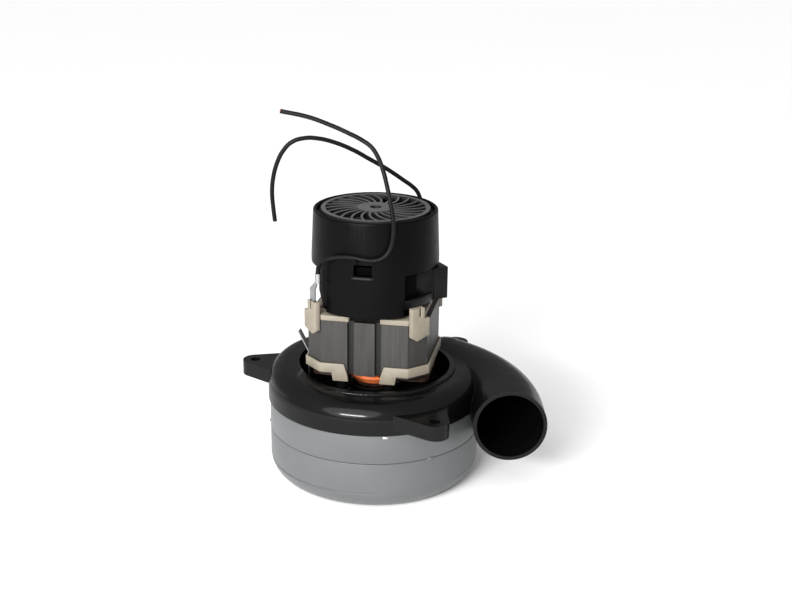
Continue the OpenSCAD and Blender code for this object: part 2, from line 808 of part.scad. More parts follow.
module lower_insulator() {
  foot = [[front_gap_half + 13.5, band_top], [front_gap_half + 3, band_top], [front_gap_half + 0.5, core_z],
    [front_gap_half, foot_z], [front_gap_half + 10.5, foot_z], [front_gap_half + 11.5, band_z],
    [front_gap_half + 13.5, band_z]];
  color("wheat") rotate(field_turn) {
    translate([0, 0, lower_plate_z]) insulator_plate(lower_plate_t, 0, lower_plate_r);
    translate([0, 0, band_z]) linear_extrude(band_h) difference() {
      polygon(core_points(band_gap + band_wall));
      polygon(core_points(band_gap));
      square([2 * front_gap_half + 24, 3 * core_b], center = true);
    }
    for (sx = [-1, 1], sy = [-1, 1]) scale([sx, sy, 1]) {
      translate([0, core_b + band_gap + band_wall, 0]) rotate([90, 0, 0])
        linear_extrude(band_wall) polygon(foot);
      translate([front_gap_half + 2, core_b - 1, lower_plate_z])
        cube([8, band_gap + band_wall / 2 + 1, lower_plate_t]);
    }
  }
}

// Terminal tower with a shallow V below, two slots and a terminal pocket from above
module tower() {
  outline = [[-tower_w / 2, tower_top], [-tower_w / 2, tower_bottom + tower_rise], [tower_apex, tower_bottom],
    [tower_w / 2, tower_bottom + tower_rise], [tower_w / 2, tower_top]];
  translate([tower_x, tower_y, 0]) rotate(tower_angle) translate([0, tower_shift, 0]) {
    difference() {
      translate([band_gap, 0, 0]) rotate([90, 0, 90]) linear_extrude(tower_t) polygon(outline);
      for (y = TOWER_SLOTS) translate([band_gap + slot_in, y - pocket_w / 2, tower_top - pocket_depth])
        cube([tower_t, pocket_w, pocket_depth + 1]);
      translate([band_gap + tower_t / 2 - pocket_w / 2, -pocket_half, tower_top - pocket_depth])
        cube([pocket_w, 2 * pocket_half, pocket_depth + 1]);
    }
    translate([-3, -tower_w / 2 + 1, core_top]) cube([3 + band_gap + 1, tower_w - 2, upper_plate_t]);
  }
}

module upper_insulator() {
  color("wheat") rotate(field_turn) {
    translate([0, 0, core_top]) insulator_plate(upper_plate_t, plate_in, upper_plate_r);
    for (sx = [-1, 1], sy = [-1, 1]) scale([sx, sy, 1]) tower();
  }
}

// Varnished body of a field coil round the pole on +X, with its end turns tucked under the yoke
module coil_body() {
  translate([coil_in, 0, coil_mid]) rotate([90, 0, 90]) linear_extrude(coil_out - coil_in) difference() {
    round_rect(2 * coil_half, 2 * coil_h, coil_corner_r);
    square([2 * coil_bore_half, 2 * coil_bore_h], center = true);
  }
  end_top = coil_mid - coil_bore_h;
  translate([(end_turn_in + end_turn_out) / 2, end_turn_half, end_top - end_turn_h / 2]) rotate([90, 0, 0])
    linear_extrude(2 * end_turn_half) round_rect(end_turn_out - end_turn_in, end_turn_h, end_turn_round);
  translate([coil_out - end_link_in, -end_link_half, end_top - end_link_h])
    cube([coil_lay_gap + 2 * end_link_in, 2 * end_link_half, end_link_h - turn_lay_gap]);
}

module right_field_coil() {
  color("saddlebrown") rotate(field_turn) coil_body();
}

module left_field_coil() {
  color("saddlebrown") rotate(field_turn + 180) coil_body();
}

module right_coil_wire() {
  color("sienna") rotate(field_turn) tube(coil_points(), coil_wire / 2, 6, [1, 0, 0]);
}

module left_coil_wire() {
  color("sienna") rotate(field_turn + 180) tube(coil_points(), coil_wire / 2, 6, [1, 0, 0]);
}

// Upright block along the brush axis, from one radius to another towards the front
module brush_block(w, h, r_in, r_out) {
  translate([-w / 2, -r_out, brush_z - h / 2]) cube([w, r_out - r_in, h]);
}

// Room for the terminal box, open in front of it
module terminal_box_room(gap) {
  translate([box_corner[0], box_corner[1], box_z - gap]) rotate(box_turn)
    translate([-box_len - gap, -box_front, 0])
      cube([box_len + 2 * gap, box_depth + box_front + gap, box_h + 2 * gap]);
}

// Arched opening over a field coil, along +X
module coil_arch() {
  low = upper_plate_top - 1;
  knee = upper_plate_top + arch_foot;
  translate([coil_in / 2, 0, 0]) rotate([90, 0, 90]) linear_extrude(collar_r)
    polygon([[-arch_half, low], [arch_half, low], [arch_half, knee], [arch_top_half, collar_side_z],
      [-arch_top_half, collar_side_z], [-arch_half, knee]]);
}

module commutator_bracket() {
  color("black") difference() {
    union() {
      translate([0, 0, upper_plate_top]) ring(collar_r, collar_r - collar_wall, collar_top - upper_plate_top);
      rotate(field_turn) for (side = [0, 180]) rotate(side) {
        difference() {
          brush_block(tube_out_w + 2 * sleeve_wall, tube_out_h + 2 * sleeve_wall, sleeve_in,
            collar_r - collar_wall / 2);
          brush_block(tube_out_w + 2 * fit, tube_out_h + 2 * fit, 0, collar_r);
        }
        translate([-screw_x, -screw_y, upper_plate_top]) cylinder(r = lug_r, h = lug_h);
        translate([-window_w / 2 + run_gap, -catch_reach, catch_z])
          cube([window_w - 2 * run_gap, catch_reach - collar_r + 1, catch_h]);
      }
      translate([0, 0, rim_z - seat_ring_t]) ring(seat_ring_r, collar_r - 1, seat_ring_t);
      translate([0, 0, collar_top - spider_t]) ring(collar_r, hub_hole_r, spider_t);
      translate([0, 0, collar_top - spider_t])
        ring(upper_bearing_r + hub_wall, upper_bearing_r + fit, hub_top - collar_top + spider_t);
      translate([0, 0, collar_top - spider_t])
        ring(upper_bearing_r + 1, hub_hole_r, upper_bearing_z - collar_top + spider_t);
    }
    for (i = [0 : 5]) rotate(field_turn + i * 60) translate([0, 0, collar_top - spider_t - 1])
      ring_sector(collar_r - collar_wall - 1, upper_bearing_r + hub_wall + 1, spider_t + 2, [-24, 24]);
    rotate(field_turn) for (side = [0, 180]) rotate(side) {
      brush_block(tube_out_w + 2 * fit, tube_out_h + 2 * fit, tube_in, collar_r + 1);
      translate([-screw_x, -screw_y, upper_plate_top - 1]) cylinder(r = screw_r + seat_gap, h = lug_h + 2);
      translate([-screw_x, -screw_y, upper_plate_top + lug_h])
        cylinder(r = head_r + 0.6, h = collar_top - upper_plate_top);
      coil_arch();
    }
    terminal_box_room(seat_gap);
  }
}

module through_screws() {
  bottom = floor_top + screw_seat + 1;
  head_z = upper_plate_top + lug_h;
  color("silver") rotate(field_turn) for (p = SCREWS) translate([p[0], p[1], 0]) difference() {
    union() {
      translate([0, 0, bottom]) cylinder(r = screw_r, h = head_z - bottom + 1);
      translate([0, 0, head_z]) cylinder(r = head_r, h = head_h);
    }
    for (a = [0, 90]) rotate(a) translate([-2.2, -0.5, head_z + head_h - 1.4]) cube([4.4, 1, 2]);
  }
}

// Half profile of the cover: leg, drafted wall, rounded rim and the shelf under the grille
module cover_profile() {
  rim_y = cover_top - rim_round;
  polygon([[cover_r - cover_wall, leg_z], [cover_r, leg_z], [cover_r, draft_z], [cover_top_r, rim_y],
    [cover_top_r - cover_wall, rim_y], [cover_r - cover_wall, draft_z]]);
  translate([cover_top_r - rim_round, rim_y]) intersection() {
    circle(rim_round);
    translate([-rim_round, 0]) square(2 * rim_round);
  }
  translate([shelf_in, shelf_z]) square([cover_top_r - cover_wall / 2 - shelf_in, shelf_t]);
}

// Open hook that holds the front lead wire against the cover
module wire_hook() {
  reach = lead_d + 4.2;
  translate([hook_x - hook_w / 2, hook_y - reach, hook_z]) {
    cube([hook_w, reach, 1.4]);
    cube([hook_w, 1, lead_d + 1]);
  }
}

module fan_cover() {
  color("black") {
    difference() {
      rotate_extrude() cover_profile();
      rotate(field_turn) for (side = [0, 180]) rotate(side) {
        translate([0, 0, leg_z - 1])
          ring_sector(cover_r + 2, collar_r - collar_wall, rim_z - leg_z + 1, [leg_half - 90, 90 - leg_half]);
        translate([-window_w / 2, -cover_r - 1, window_z]) cube([window_w, 2 * cover_wall + 1, window_h]);
      }
    }
    wire_hook();
  }
}

module intake_grille() {
  rib_z = grille_z + 0.6;
  rib_height = grille_h - 1;
  color("gray") {
    translate([0, 0, grille_z]) ring(grille_r, grille_r - grille_ring, grille_h);
    translate([0, 0, rib_z]) ring(grille_hub_r, grille_hole_r, grille_h - 0.6);
    for (i = [0 : grille_ribs - 1]) rotate(i * 360 / grille_ribs) translate([0, 0, rib_z])
      arc_vane(grille_hub_r - 1, grille_r - 1.5, grille_bend, grille_rib_t, rib_height);
  }
}

// Part of the terminal box between two distances from its left end, clear of the bracket below its top
module box_part(from, to) {
  difference() {
    translate([box_corner[0], box_corner[1], box_z]) rotate(box_turn)
      translate([from - box_len, 0, 0]) cube([to - from, box_depth, box_h]);
    cylinder(r = collar_r + run_gap, h = collar_side_z + run_gap);
    cylinder(r = box_in_r, h = cover_top);
  }
}

module terminal_box() {
  color("black") {
    box_part(0, box_len - lid_len - lid_gap);
    translate([0, 0, box_z])
      ring_sector(collar_r + run_gap + box_arm_t, collar_r + run_gap, box_arm_h, box_arm_turn);
  }
}

module terminal_box_lid() {
  color("black") box_part(box_len - lid_len, box_len);
}

// Crimped terminal in the tower at the right rear, with its barrel beside the blade
module crimp_terminal() {
  foot = tower_top - pocket_depth + blade_foot;
  neck = crimp_z - blade_neck;
  top = crimp_z + blade_foot;
  translate([crimp_local[0], crimp_local[1], 0]) rotate(tower_angle) {
    translate([0, 0, crimp_z]) ring(barrel_r, lead_r + fit, barrel_h);
    translate([crimp_in - blade_t / 2, 0, 0]) rotate([90, 0, 90]) linear_extrude(blade_t)
      polygon([[-blade_side - blade_w / 2, foot], [blade_w / 2 - blade_side, foot],
        [blade_w / 2 - blade_side, neck], [lead_r, top], [-lead_r, top], [-blade_side - blade_w / 2, neck]]);
  }
}

module lead_terminal() {
  color("silver") rotate(field_turn + 180) crimp_terminal();
}

module rear_lead_terminal() {
  color("silver") rotate(field_turn) crimp_terminal();
}

module earth_tab() {
  tip = [-sin(tab_lean) * tab_len, tab_rise + cos(tab_lean) * tab_len];
  strip = [[0, 0], [tab_foot, 0], [tab_foot, blade_t], [blade_t, blade_t],
    [blade_t, tab_rise + blade_t * tan(tab_lean / 2)], tip + blade_t * [cos(tab_lean), sin(tab_lean)], tip,
    [0, tab_rise]];
  color("slategray") rotate(field_turn) translate([-tab_x, tab_w / 2, floor_top]) rotate([90, 0, 0])
    linear_extrude(tab_w) polygon(strip);
}

module lead_wire_front() {
  color("black") tube(FRONT_ROUTE, lead_r, 8, [0, 1, 0]);
}

module lead_wire_rear() {
  color("black") tube(REAR_ROUTE, lead_r, 8, [1, 0, 0]);
}

// Ball bearing parts at a height: outer ring with shields, inner ring and balls
module bearing_outer(z, r, race_r, inner_r, w) {
  translate([0, 0, z]) {
    ring(r, race_r, w);
    ring(race_r + 0.5, inner_r + run_gap, shield_t);
    translate([0, 0, w - shield_t]) ring(race_r + 0.5, inner_r + run_gap, shield_t);
  }
}

module bearing_balls(z, race_r, inner_r, w) {
  translate([0, 0, z + w / 2]) for (i = [0 : ball_count - 1]) rotate(i * 360 / ball_count)
    translate([(race_r + inner_r) / 2, 0, 0]) sphere((race_r - inner_r) / 2 - ball_gap);
}

module lower_bearing_outer_ring() {
  color("silver")
    bearing_outer(lower_bearing_z, lower_bearing_r, lower_outer_r, lower_inner_r, lower_bearing_w);
}

module lower_bearing_inner_ring() {
  color("silver") translate([0, 0, lower_bearing_z]) ring(lower_inner_r, fan_seat_r + fit, lower_bearing_w);
}

module lower_bearing_balls() {
  color("gainsboro") bearing_balls(lower_bearing_z, lower_outer_r, lower_inner_r, lower_bearing_w);
}

module upper_bearing_outer_ring() {
  color("silver")
    bearing_outer(upper_bearing_z, upper_bearing_r, upper_outer_r, upper_inner_r, upper_bearing_w);
}

module upper_bearing_inner_ring() {
  color("silver") translate([0, 0, upper_bearing_z]) ring(upper_inner_r, top_seat_r + fit, upper_bearing_w);
}

module upper_bearing_balls() {
  color("gainsboro") bearing_balls(upper_bearing_z, upper_outer_r, upper_inner_r, upper_bearing_w);
}

module shaft() {
  color("silver") rotate_extrude() polygon([[0, shaft_bottom], [fan_seat_r - 0.8, shaft_bottom],
    [fan_seat_r, shaft_bottom + 0.8], [fan_seat_r, lower_bearing_top], [armature_seat_r, lower_bearing_top],
    [armature_seat_r, upper_bearing_z], [top_seat_r, upper_bearing_z], [top_seat_r, shaft_top - 0.6],
    [top_seat_r - 0.6, shaft_top], [0, shaft_top]]);
}

module fan_spacer() {
  color("gainsboro") translate([0, 0, first_disc_z + fan_sheet])
    ring(spacer_r, fan_seat_r + fit, second_disc_z - first_disc_z - fan_sheet);
}

module bearing_spacer() {
  bottom = second_disc_z + fan_sheet;
  color("gainsboro") translate([0, 0, bottom]) ring(spacer_r, fan_seat_r + fit, lower_bearing_z - bottom);
}

module fan_washer() {
  color("silver") translate([0, 0, first_disc_z - washer_t]) ring(nut_r + 2, fan_seat_r + fit, washer_t);
}

module fan_nut() {
  color("silver") translate([0, 0, first_disc_z - washer_t - nut_h]) difference() {
    cylinder(r = nut_r, h = nut_h, $fn = 6);
    translate([0, 0, -1]) cylinder(r = fan_seat_r + fit, h = nut_h + 2);
  }
}

module armature_core() {
  color("dimgray") translate([0, 0, core_z]) linear_extrude(core_h) difference() {
    circle(armature_r);
    circle(armature_seat_r + fit);
    for (i = [0 : slots - 1]) rotate(i * 360 / slots) {
      translate([slot_circle_r, 0]) circle(slot_r);
      translate([slot_circle_r, -slot_mouth / 2]) square([armature_r, slot_mouth]);
    }
  }
}

module armature_winding() {
  low = core_z - bundle_gap;
  high = core_top + bundle_gap;
  color("chocolate") {
    rotate_extrude() {
      polygon([[bundle_in, bundle_low_z], [bundle_r - bundle_slope, bundle_low_z],
        [bundle_r, bundle_low_z + bundle_slope], [bundle_r, low], [bundle_in, low]]);
      polygon([[bundle_in, high], [bundle_r, high], [bundle_r, bundle_top_z - bundle_slope],
        [bundle_r - bundle_slope, bundle_top_z], [bundle_in, bundle_top_z]]);
    }
    for (i = [0 : slots - 1]) rotate(i * 360 / slots) translate([slot_circle_r, 0, low - 1])
      cylinder(r = wire_fill_r, h = high - low + 2);
  }
}

module armature_end_turns() {
  color("chocolate") tube(turn_points(), turn_wire / 2, 6, [0, 0, 1]);
}

module commutator() {
  color("peru") translate([0, 0, commutator_z]) difference() {
    union() {
      cylinder(r = commutator_r, h = commutator_h);
      cylinder(r = commutator_r + riser_t, h = riser_h);
    }
    translate([0, 0, -1]) cylinder(r = armature_seat_r + fit, h = commutator_h + 2);
    for (i = [0 : bars - 1]) rotate(i * 360 / bars)
      translate([commutator_r - bar_depth, -bar_slot / 2, -1])
        cube([bar_depth + riser_t + 1, bar_slot, commutator_h + 2]);
  }
}

module cooling_fan() {
  disc_t = 1.5;
  color("dimgray") translate([0, 0, cooling_fan_z]) {
    ring(cooling_fan_r, top_seat_r + fit, disc_t);
    ring(cooling_hub_r, top_seat_r + fit, cooling_h);
    for (i = [0 : cooling_blades - 1]) rotate(i * 360 / cooling_blades) translate([0, 0, disc_t / 2])
      arc_vane(cooling_hub_r - 1, cooling_fan_r - 1, blade_bend, cooling_blade_t, cooling_h - disc_t / 2);
  }
}

module brush_tube() {
  difference() {
    brush_block(tube_out_w, tube_out_h, tube_in, tube_out);
    brush_block(tube_w, tube_h, tube_in - 1, tube_out + 1);
  }
}

module brush_cap() {
  brush_block(tube_out_w + 1, tube_out_h + 1, cap_in, cap_in + cap_t);
  brush_block(brush_w, brush_h, cap_in - plug_len, cap_in + cap_t / 2);
}

module brush_spring() {
  translate([0, -spring_in - spring_out, brush_z])
    tube(spring_points(spring_in, spring_out, spring_r, spring_wire, spring_curls, spring_steps),
      spring_wire / 2, 6, [0, 1, 0]);
}

// Carbon brush with its inner end hollowed to the commutator
module carbon_brush() {
  difference() {
    brush_block(brush_w, brush_h, commutator_r - 1, brush_out);
    translate([0, 0, commutator_z]) cylinder(r = brush_in, h = commutator_h);
  }
}

module front_brush_tube() {
  color("goldenrod") rotate(field_turn) brush_tube();
}

module rear_brush_tube() {
  color("goldenrod") rotate(field_turn + 180) brush_tube();
}

module front_brush_cap() {
  color("black") rotate(field_turn) brush_cap();
}

module rear_brush_cap() {
  color("black") rotate(field_turn + 180) brush_cap();
}

module front_brush_spring() {
  color("silver") rotate(field_turn) brush_spring();
}

module rear_brush_spring() {
  color("silver") rotate(field_turn + 180) brush_spring();
}

module front_carbon_brush() {
  color("black") rotate(field_turn) carbon_brush();
}

module rear_carbon_brush() {
  color("black") rotate(field_turn + 180) carbon_brush();
}

echo(coil_gap = least_gap(coil_points(), loop_steps / 2) - coil_wire);
echo(turn_gap = least_gap(turn_points(), loop_steps / 2) - turn_wire);
echo(spring_gap = least_gap(spring_points(spring_in, spring_out, spring_r, spring_wire, spring_curls,
  spring_steps), spring_steps / 2) - spring_wire);

inlet_shell();
upper_shell();
diffuser();
fan_bracket();
field_core();
lower_insulator();
upper_insulator();
left_field_coil();
right_field_coil();
left_coil_wire();
right_coil_wire();
commutator_bracket();
fan_cover();
intake_grille();
terminal_box();
terminal_box_lid();
lead_terminal();
rear_lead_terminal();
earth_tab();
through_screws();
lower_bearing_outer_ring();
upper_bearing_outer_ring();
front_brush_tube();
rear_brush_tube();
front_brush_cap();
rear_brush_cap();
front_brush_spring();
rear_brush_spring();
lead_wire_front();
lead_wire_rear();
shaft();
first_stage_fan();
second_stage_fan();
fan_spacer();
bearing_spacer();
fan_washer();
fan_nut();
lower_bearing_inner_ring();
lower_bearing_balls();
upper_bearing_inner_ring();
upper_bearing_balls();
armature_core();
armature_winding();
armature_end_turns();
commutator();
cooling_fan();
front_carbon_brush();
rear_carbon_brush();
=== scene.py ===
"""Vacuum motor unit: finished pieces, materials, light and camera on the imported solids, in metres."""

import math

import bpy
from bpy.props import FloatProperty, FloatVectorProperty, IntProperty, PointerProperty
from mathutils import Matrix, Vector


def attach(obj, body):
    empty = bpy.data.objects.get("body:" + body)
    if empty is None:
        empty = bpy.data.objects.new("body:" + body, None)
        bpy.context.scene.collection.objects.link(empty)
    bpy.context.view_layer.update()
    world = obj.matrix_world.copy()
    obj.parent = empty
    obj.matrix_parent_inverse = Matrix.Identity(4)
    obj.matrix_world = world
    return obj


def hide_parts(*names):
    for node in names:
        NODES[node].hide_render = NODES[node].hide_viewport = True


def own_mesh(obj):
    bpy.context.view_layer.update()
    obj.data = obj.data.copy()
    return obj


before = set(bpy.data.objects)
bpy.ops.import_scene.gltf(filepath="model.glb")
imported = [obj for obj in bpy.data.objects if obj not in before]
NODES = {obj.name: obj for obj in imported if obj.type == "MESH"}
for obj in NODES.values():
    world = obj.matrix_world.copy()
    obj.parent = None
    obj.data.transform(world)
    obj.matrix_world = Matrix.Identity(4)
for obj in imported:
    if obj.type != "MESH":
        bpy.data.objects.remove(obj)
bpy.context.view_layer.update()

bl_info = {
    "name": "Vacuum Motor Unit",
    "version": (1, 0, 0),
    "blender": (4, 5, 0),
    "location": "View3D > Sidebar > Motor",
    "description": "Finishes a two-stage vacuum motor with an outlet horn",
    "category": "Object",
}

MM = 0.001
BODY = "motor_body"
# The field, its insulators, the cover and the brush gear are all turned by this angle
FIELD_TURN = math.radians(-11)

# Vertices closer than MERGE metres are one. Edges sharper than so many degrees stay sharp, on pieces with flat
# faces and on round wires and stakes, and faces within FLAT degrees are one plane.
MERGE = 0.000004
CREASE = 35
ROUND_CREASE = 60
FLAT = 0.6

# Camera and light of the photo
CAMERA_PLACE = Vector((0, -0.849, 0.416))
CAMERA_AIM = Vector((0.0143, 0, 0.119))
CAMERA_ROLL = math.radians(0.71)
CAMERA_SENSOR, CAMERA_LENS = 36, 59.86
KEY_PLACE, KEY_AIM = Vector((-0.4, -0.97, 0.51)), Vector((0, 0, 0.09))
KEY_SIZE, KEY_POWER = (0.48, 0.09), 15.0
SOFT_LIGHT = Vector((0.38, 0.73, -0.567))
SOFT_POWER, SOFT_ANGLE = 2.2, math.radians(55)
SKY_LOW, SKY_HIGH = 0.27, 0.8
FLOOR_SIZE = 24

# Centre lines of the two lead wires, in millimetres
FRONT_ROUTE = (
    (-37.506, -29.935, 147), (-37.506, -29.935, 153.6), (-36.9, -31, 158), (-35, -33, 161.4), (-32, -35, 163.6),
    (-28.4, -36.8, 165.2), (-22, -39.4, 166.8), (-15, -42.4, 167.4), (-8, -44.4, 166.6), (-1.5, -45, 166.2),
    (4.6, -44.8, 168), (8.8, -44, 172.8), (10.8, -43.6, 180), (11.3, -43.4, 188.5), (10.7, -43.4, 196),
    (9.4, -43, 203.5), (7.2, -41, 213.5), (4, -38, 225), (0.8, -36, 232.4), (-3, -34, 237.6), (-8, -32, 241),
    (-18.5, -30, 246), (-30.5, -28, 250.8), (-43, -26, 254.8), (-60.5, -24, 258),
)
REAR_ROUTE = (
    (37.506, 29.935, 147), (37.506, 29.935, 153.6), (36.6, 30.2, 160), (34.8, 31, 167.4), (33, 32, 175.6),
    (31.6, 32.8, 183), (30.4, 32.6, 188), (28.2, 31, 193), (24.4, 28.2, 197.4), (18.4, 24, 202.6),
    (7.4, 18, 211.4), (-4.6, 12, 219.6), (-16, 7, 227), (-28.4, 3, 232.8), (-38, 1, 235.4), (-46.6, 0, 235.8),
    (-55.2, -1, 233.2), (-61, -1, 227.2), (-65, -1, 219.2), (-67.8, -1, 208.6), (-68.6, -1, 199.6),
    (-67.8, -1, 187), (-67, -1, 179.8),
)

# Copper strands at the cut end of a lead, in metres: the ring that six of them stand on, and how far back they sit
STRAND_RADIUS, STRAND_LENGTH, STRAND_EDGE = 0.00028, 0.004, 0.00008
STRAND_RING, STRAND_BACK = 0.00058, 0.0016

# Pressed stakes on the wall of the case, in millimetres. The outer face is drawn in to a share of the base.
STAKE_SIZE, STAKE_EDGE, STAKE_REACH = (1.4, 4.6, 2.8), 0.45, 72.4
STAKE_FACE = (1, 0.55, 0.45)
# Each ring of three: name, degrees of the first, height, slot and finish
STAKES = (
    ("rim_stakes", -84.3, 54.7, "steel", "stake_metal"),
    ("seam_stakes", -59, 35.4, "case_paint", "satin_case_paint"),
)

# Sill under a window of the cover: degrees from the window's middle and millimetres from the axis
SILL_LINE = ((-9.6, 42.2), (-8.4, 43.4), (-4, 43.6), (0, 43.6), (4, 43.6), (8.4, 43.4), (9.6, 42.2))
SILL_HEIGHT, SILL_THICKNESS = 153.2, 2.2

# Step in the outer side of a terminal tower, in millimetres. The tower leans from the field's axes, and the step
# lies so far out and to the side of its middle.
TOWER_LEAN = math.atan2(11.3, 11)
TOWER_X, TOWER_Y = 34.85, 31.5
STEP_OUT, STEP_SIDE, STEP_HEIGHT = 2.2, -5.1, 129.8
STEP_SIZE = (5, 4.4, 9)

# Outer layer of a field coil, in millimetres: from and to along the coil's axis, half its width and height, the
# height of its middle, and the power of its rounded square
COIL_FROM, COIL_TO = 25, 32.6
COIL_WIDE, COIL_TALL, COIL_MIDDLE, COIL_POWER = 21.2, 28.2, 102.5, 2.5
# Half of a wire round the lower end of a coil, which is the same on the other side of the coil's axis
COIL_END = ((17, -19.8), (27, -19.4), (33.9, -18.8), (36.6, -18.4), (38.5, -17.6), (39.3, -15.4), (39.3, -7))
COIL_END_MIDDLE = (39.4, 0)
COIL_ENDS, COIL_END_HEIGHT, COIL_END_RISE, COIL_END_SHIFT = 5, 74.9, 1.1, 0.12
# Turns round the lower end of the armature winding, in millimetres
ARMATURE_WIRE, ARMATURE_RADIUS, ARMATURE_TOP, ARMATURE_DEPTH = 0.9, 20.3, 81.5, 7.25
TURN_STEPS = 48

# Brush springs, in metres: the ends by their distance from the axis, the coil's radius, its height on the motor,
# and the share of the wire's thickness that keeps closed turns apart
SPRING_INNER, SPRING_OUTER, SPRING_RADIUS, SPRING_HEIGHT = 28.4 * MM, 36.5 * MM, 2.3 * MM, 145 * MM
SPRING_SHARE = 0.95
SPRING_CURLS, SPRING_CLOSED, SPRING_STEPS = 6, 1, 20

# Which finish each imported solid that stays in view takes
STAYING = {
    "lamination_steel": ("field_core", "armature_core"),
    "bare_steel": ("shaft", "lower_bearing_outer_ring", "lower_bearing_inner_ring", "lower_bearing_balls",
                   "upper_bearing_outer_ring", "upper_bearing_inner_ring", "upper_bearing_balls",
                   "through_screws", "fan_washer", "fan_nut"),
    "spun_aluminium": ("first_stage_fan", "second_stage_fan", "diffuser", "fan_spacer", "bearing_spacer"),
    "brush_brass": ("front_brush_tube", "rear_brush_tube"),
    "carbon_block": ("front_carbon_brush", "rear_carbon_brush"),
    "cover_moulding": ("front_brush_cap", "rear_brush_cap"),
    "cooling_plastic": ("cooling_fan",),
    "copper_bars": ("commutator",),
    "enamelled_copper": ("armature_winding",),
    "red_coil_varnish": ("left_field_coil", "right_field_coil"),
    "earth_strip": ("earth_tab",),
}


class MotorSizes(bpy.types.PropertyGroup):
    """Sizes of the finished pieces."""

    lead_diameter: FloatProperty(
        name="Lead diameter", description="Outside diameter of the lead wires", default=0.0029, unit="LENGTH")
    moulded_edge: FloatProperty(
        name="Moulded edge", description="Rounding of the edges of the terminal box", default=0.0005, unit="LENGTH")
    insulator_edge: FloatProperty(
        name="Insulator edge", description="Rounding of the edges of the insulators", default=0.0004, unit="LENGTH")
    sheet_edge: FloatProperty(
        name="Sheet edge", description="Rounding of the edges of the painted shells", default=0.00025, unit="LENGTH")
    coil_wire: FloatProperty(
        name="Coil wire", description="Diameter of the wire on the field coils", default=0.00098, unit="LENGTH")
    coil_turns: IntProperty(
        name="Coil turns", description="Turns in the outer layer of a field coil", default=7, min=5, max=8)
    end_turns: IntProperty(
        name="End turns", description="Turns round the lower end of the armature winding", default=8, min=5, max=9)
    spring_wire: FloatProperty(
        name="Spring wire", description="Wire of the brush springs", default=0.0008, unit="LENGTH")


class MotorColours(bpy.types.PropertyGroup):
    """Colours of the finishes."""

    case_paint: FloatVectorProperty(
        name="Case paint", description="Grey paint of the fan case", subtype="COLOR", size=4,
        default=(0.089, 0.0935, 0.0955, 1))
    bracket: FloatVectorProperty(
        name="Bracket", description="Black moulding of the fan bracket", subtype="COLOR", size=4,
        default=(0.002, 0.002, 0.0021, 1))
    cover: FloatVectorProperty(
        name="Cover", description="Black moulding of the cover and the terminal box", subtype="COLOR", size=4,
        default=(0.0014, 0.0012, 0.0013, 1))
    # The grille's grey is partly its own tone and partly a painted reflection of the light from above on its tops.
    grille: FloatVectorProperty(
        name="Grille", description="Grey moulding of the intake grille", subtype="COLOR", size=4,
        default=(0.075, 0.075, 0.075, 1))
    insulator: FloatVectorProperty(
        name="Insulator", description="Cream moulding of the insulators", subtype="COLOR", size=4,
        default=(0.2, 0.176, 0.136, 1))
    laminations: FloatVectorProperty(
        name="Laminations", description="Steel of the field and the armature", subtype="COLOR", size=4,
        default=(0.039, 0.0373, 0.0345, 1))
    copper: FloatVectorProperty(
        name="Copper", description="Enamelled copper of the armature winding", subtype="COLOR", size=4,
        default=(1.0, 0.22, 0.066, 1))
    varnish: FloatVectorProperty(
        name="Varnish", description="Varnish on the field coils", subtype="COLOR", size=4,
        default=(0.06, 0.022, 0.008, 1))
    lead_sleeve: FloatVectorProperty(
        name="Lead sleeve", description="Insulation of the lead wires", subtype="COLOR", size=4,
        default=(0.0035, 0.0035, 0.0035, 1))
    floor: FloatVectorProperty(
        name="Floor", description="Studio floor", subtype="COLOR", size=4, default=(0.955, 0.955, 0.955, 1))


# Selection and modelling


def linked(name, data):
    """Puts a new object with its data into the scene."""
    obj = bpy.data.objects.new(name, data)
    bpy.context.scene.collection.objects.link(obj)
    return obj


def only(obj):
    """Selects one object alone and makes it active."""
    bpy.ops.object.select_all(action="DESELECT")
    obj.hide_set(False)
    obj.select_set(True)
    bpy.context.view_layer.objects.active = obj
    return obj


def apply_all(obj):
    """Applies every modifier of an object in order."""
    only(obj)
    for modifier in list(obj.modifiers):
        bpy.ops.object.modifier_apply(modifier=modifier.name)


def smooth(obj, degrees=CREASE):
    """Shades an object smooth, with its sharp edges kept."""
    only(obj)
    bpy.ops.object.shade_smooth_by_angle(angle=math.radians(degrees))


def add_bevel(obj, width, degrees=CREASE, segments=2):
    """Rounds the sharp edges of a mesh."""
    bevel = obj.modifiers.new("Edges", "BEVEL")
    bevel.width = width
    bevel.segments = segments
    bevel.limit_method = "ANGLE"
    bevel.angle_limit = math.radians(degrees)
    bevel.use_clamp_overlap = False
    bevel.miter_outer = "MITER_ARC"


def finished_copy(node, name, edge, cutter=None):
    """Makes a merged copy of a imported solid, cut and with rounded edges where asked, which stands in its place."""
    obj = only(linked(name, NODES[node].data.copy()))
    obj.data.materials.clear()
    bpy.ops.mesh.customdata_custom_splitnormals_clear()
    bpy.ops.object.mode_set(mode="EDIT")
    bpy.ops.mesh.select_all(action="SELECT")
    bpy.ops.mesh.remove_doubles(threshold=MERGE)
    bpy.ops.mesh.dissolve_limited(angle_limit=math.radians(FLAT), use_dissolve_boundaries=False)
    bpy.ops.object.mode_set(mode="OBJECT")
    if cutter:
        cut = obj.modifiers.new("Cut", "BOOLEAN")
        cut.operation = "DIFFERENCE"
        cut.solver = "EXACT"
        cut.object = cutter
        apply_all(obj)
        bpy.data.objects.remove(cutter)
    if edge > 0:
        add_bevel(obj, edge)
        apply_all(obj)
    smooth(obj)
    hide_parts(node)
    return obj


def joined(parts, name):
    """Joins pieces into one object whose place is in its mesh."""
    only(parts[0])
    for part in parts:
        part.select_set(True)
    bpy.ops.object.join()
    obj = bpy.context.active_object
    obj.name = name
    bpy.ops.object.transform_apply(location=True, rotation=True, scale=True)
    return obj


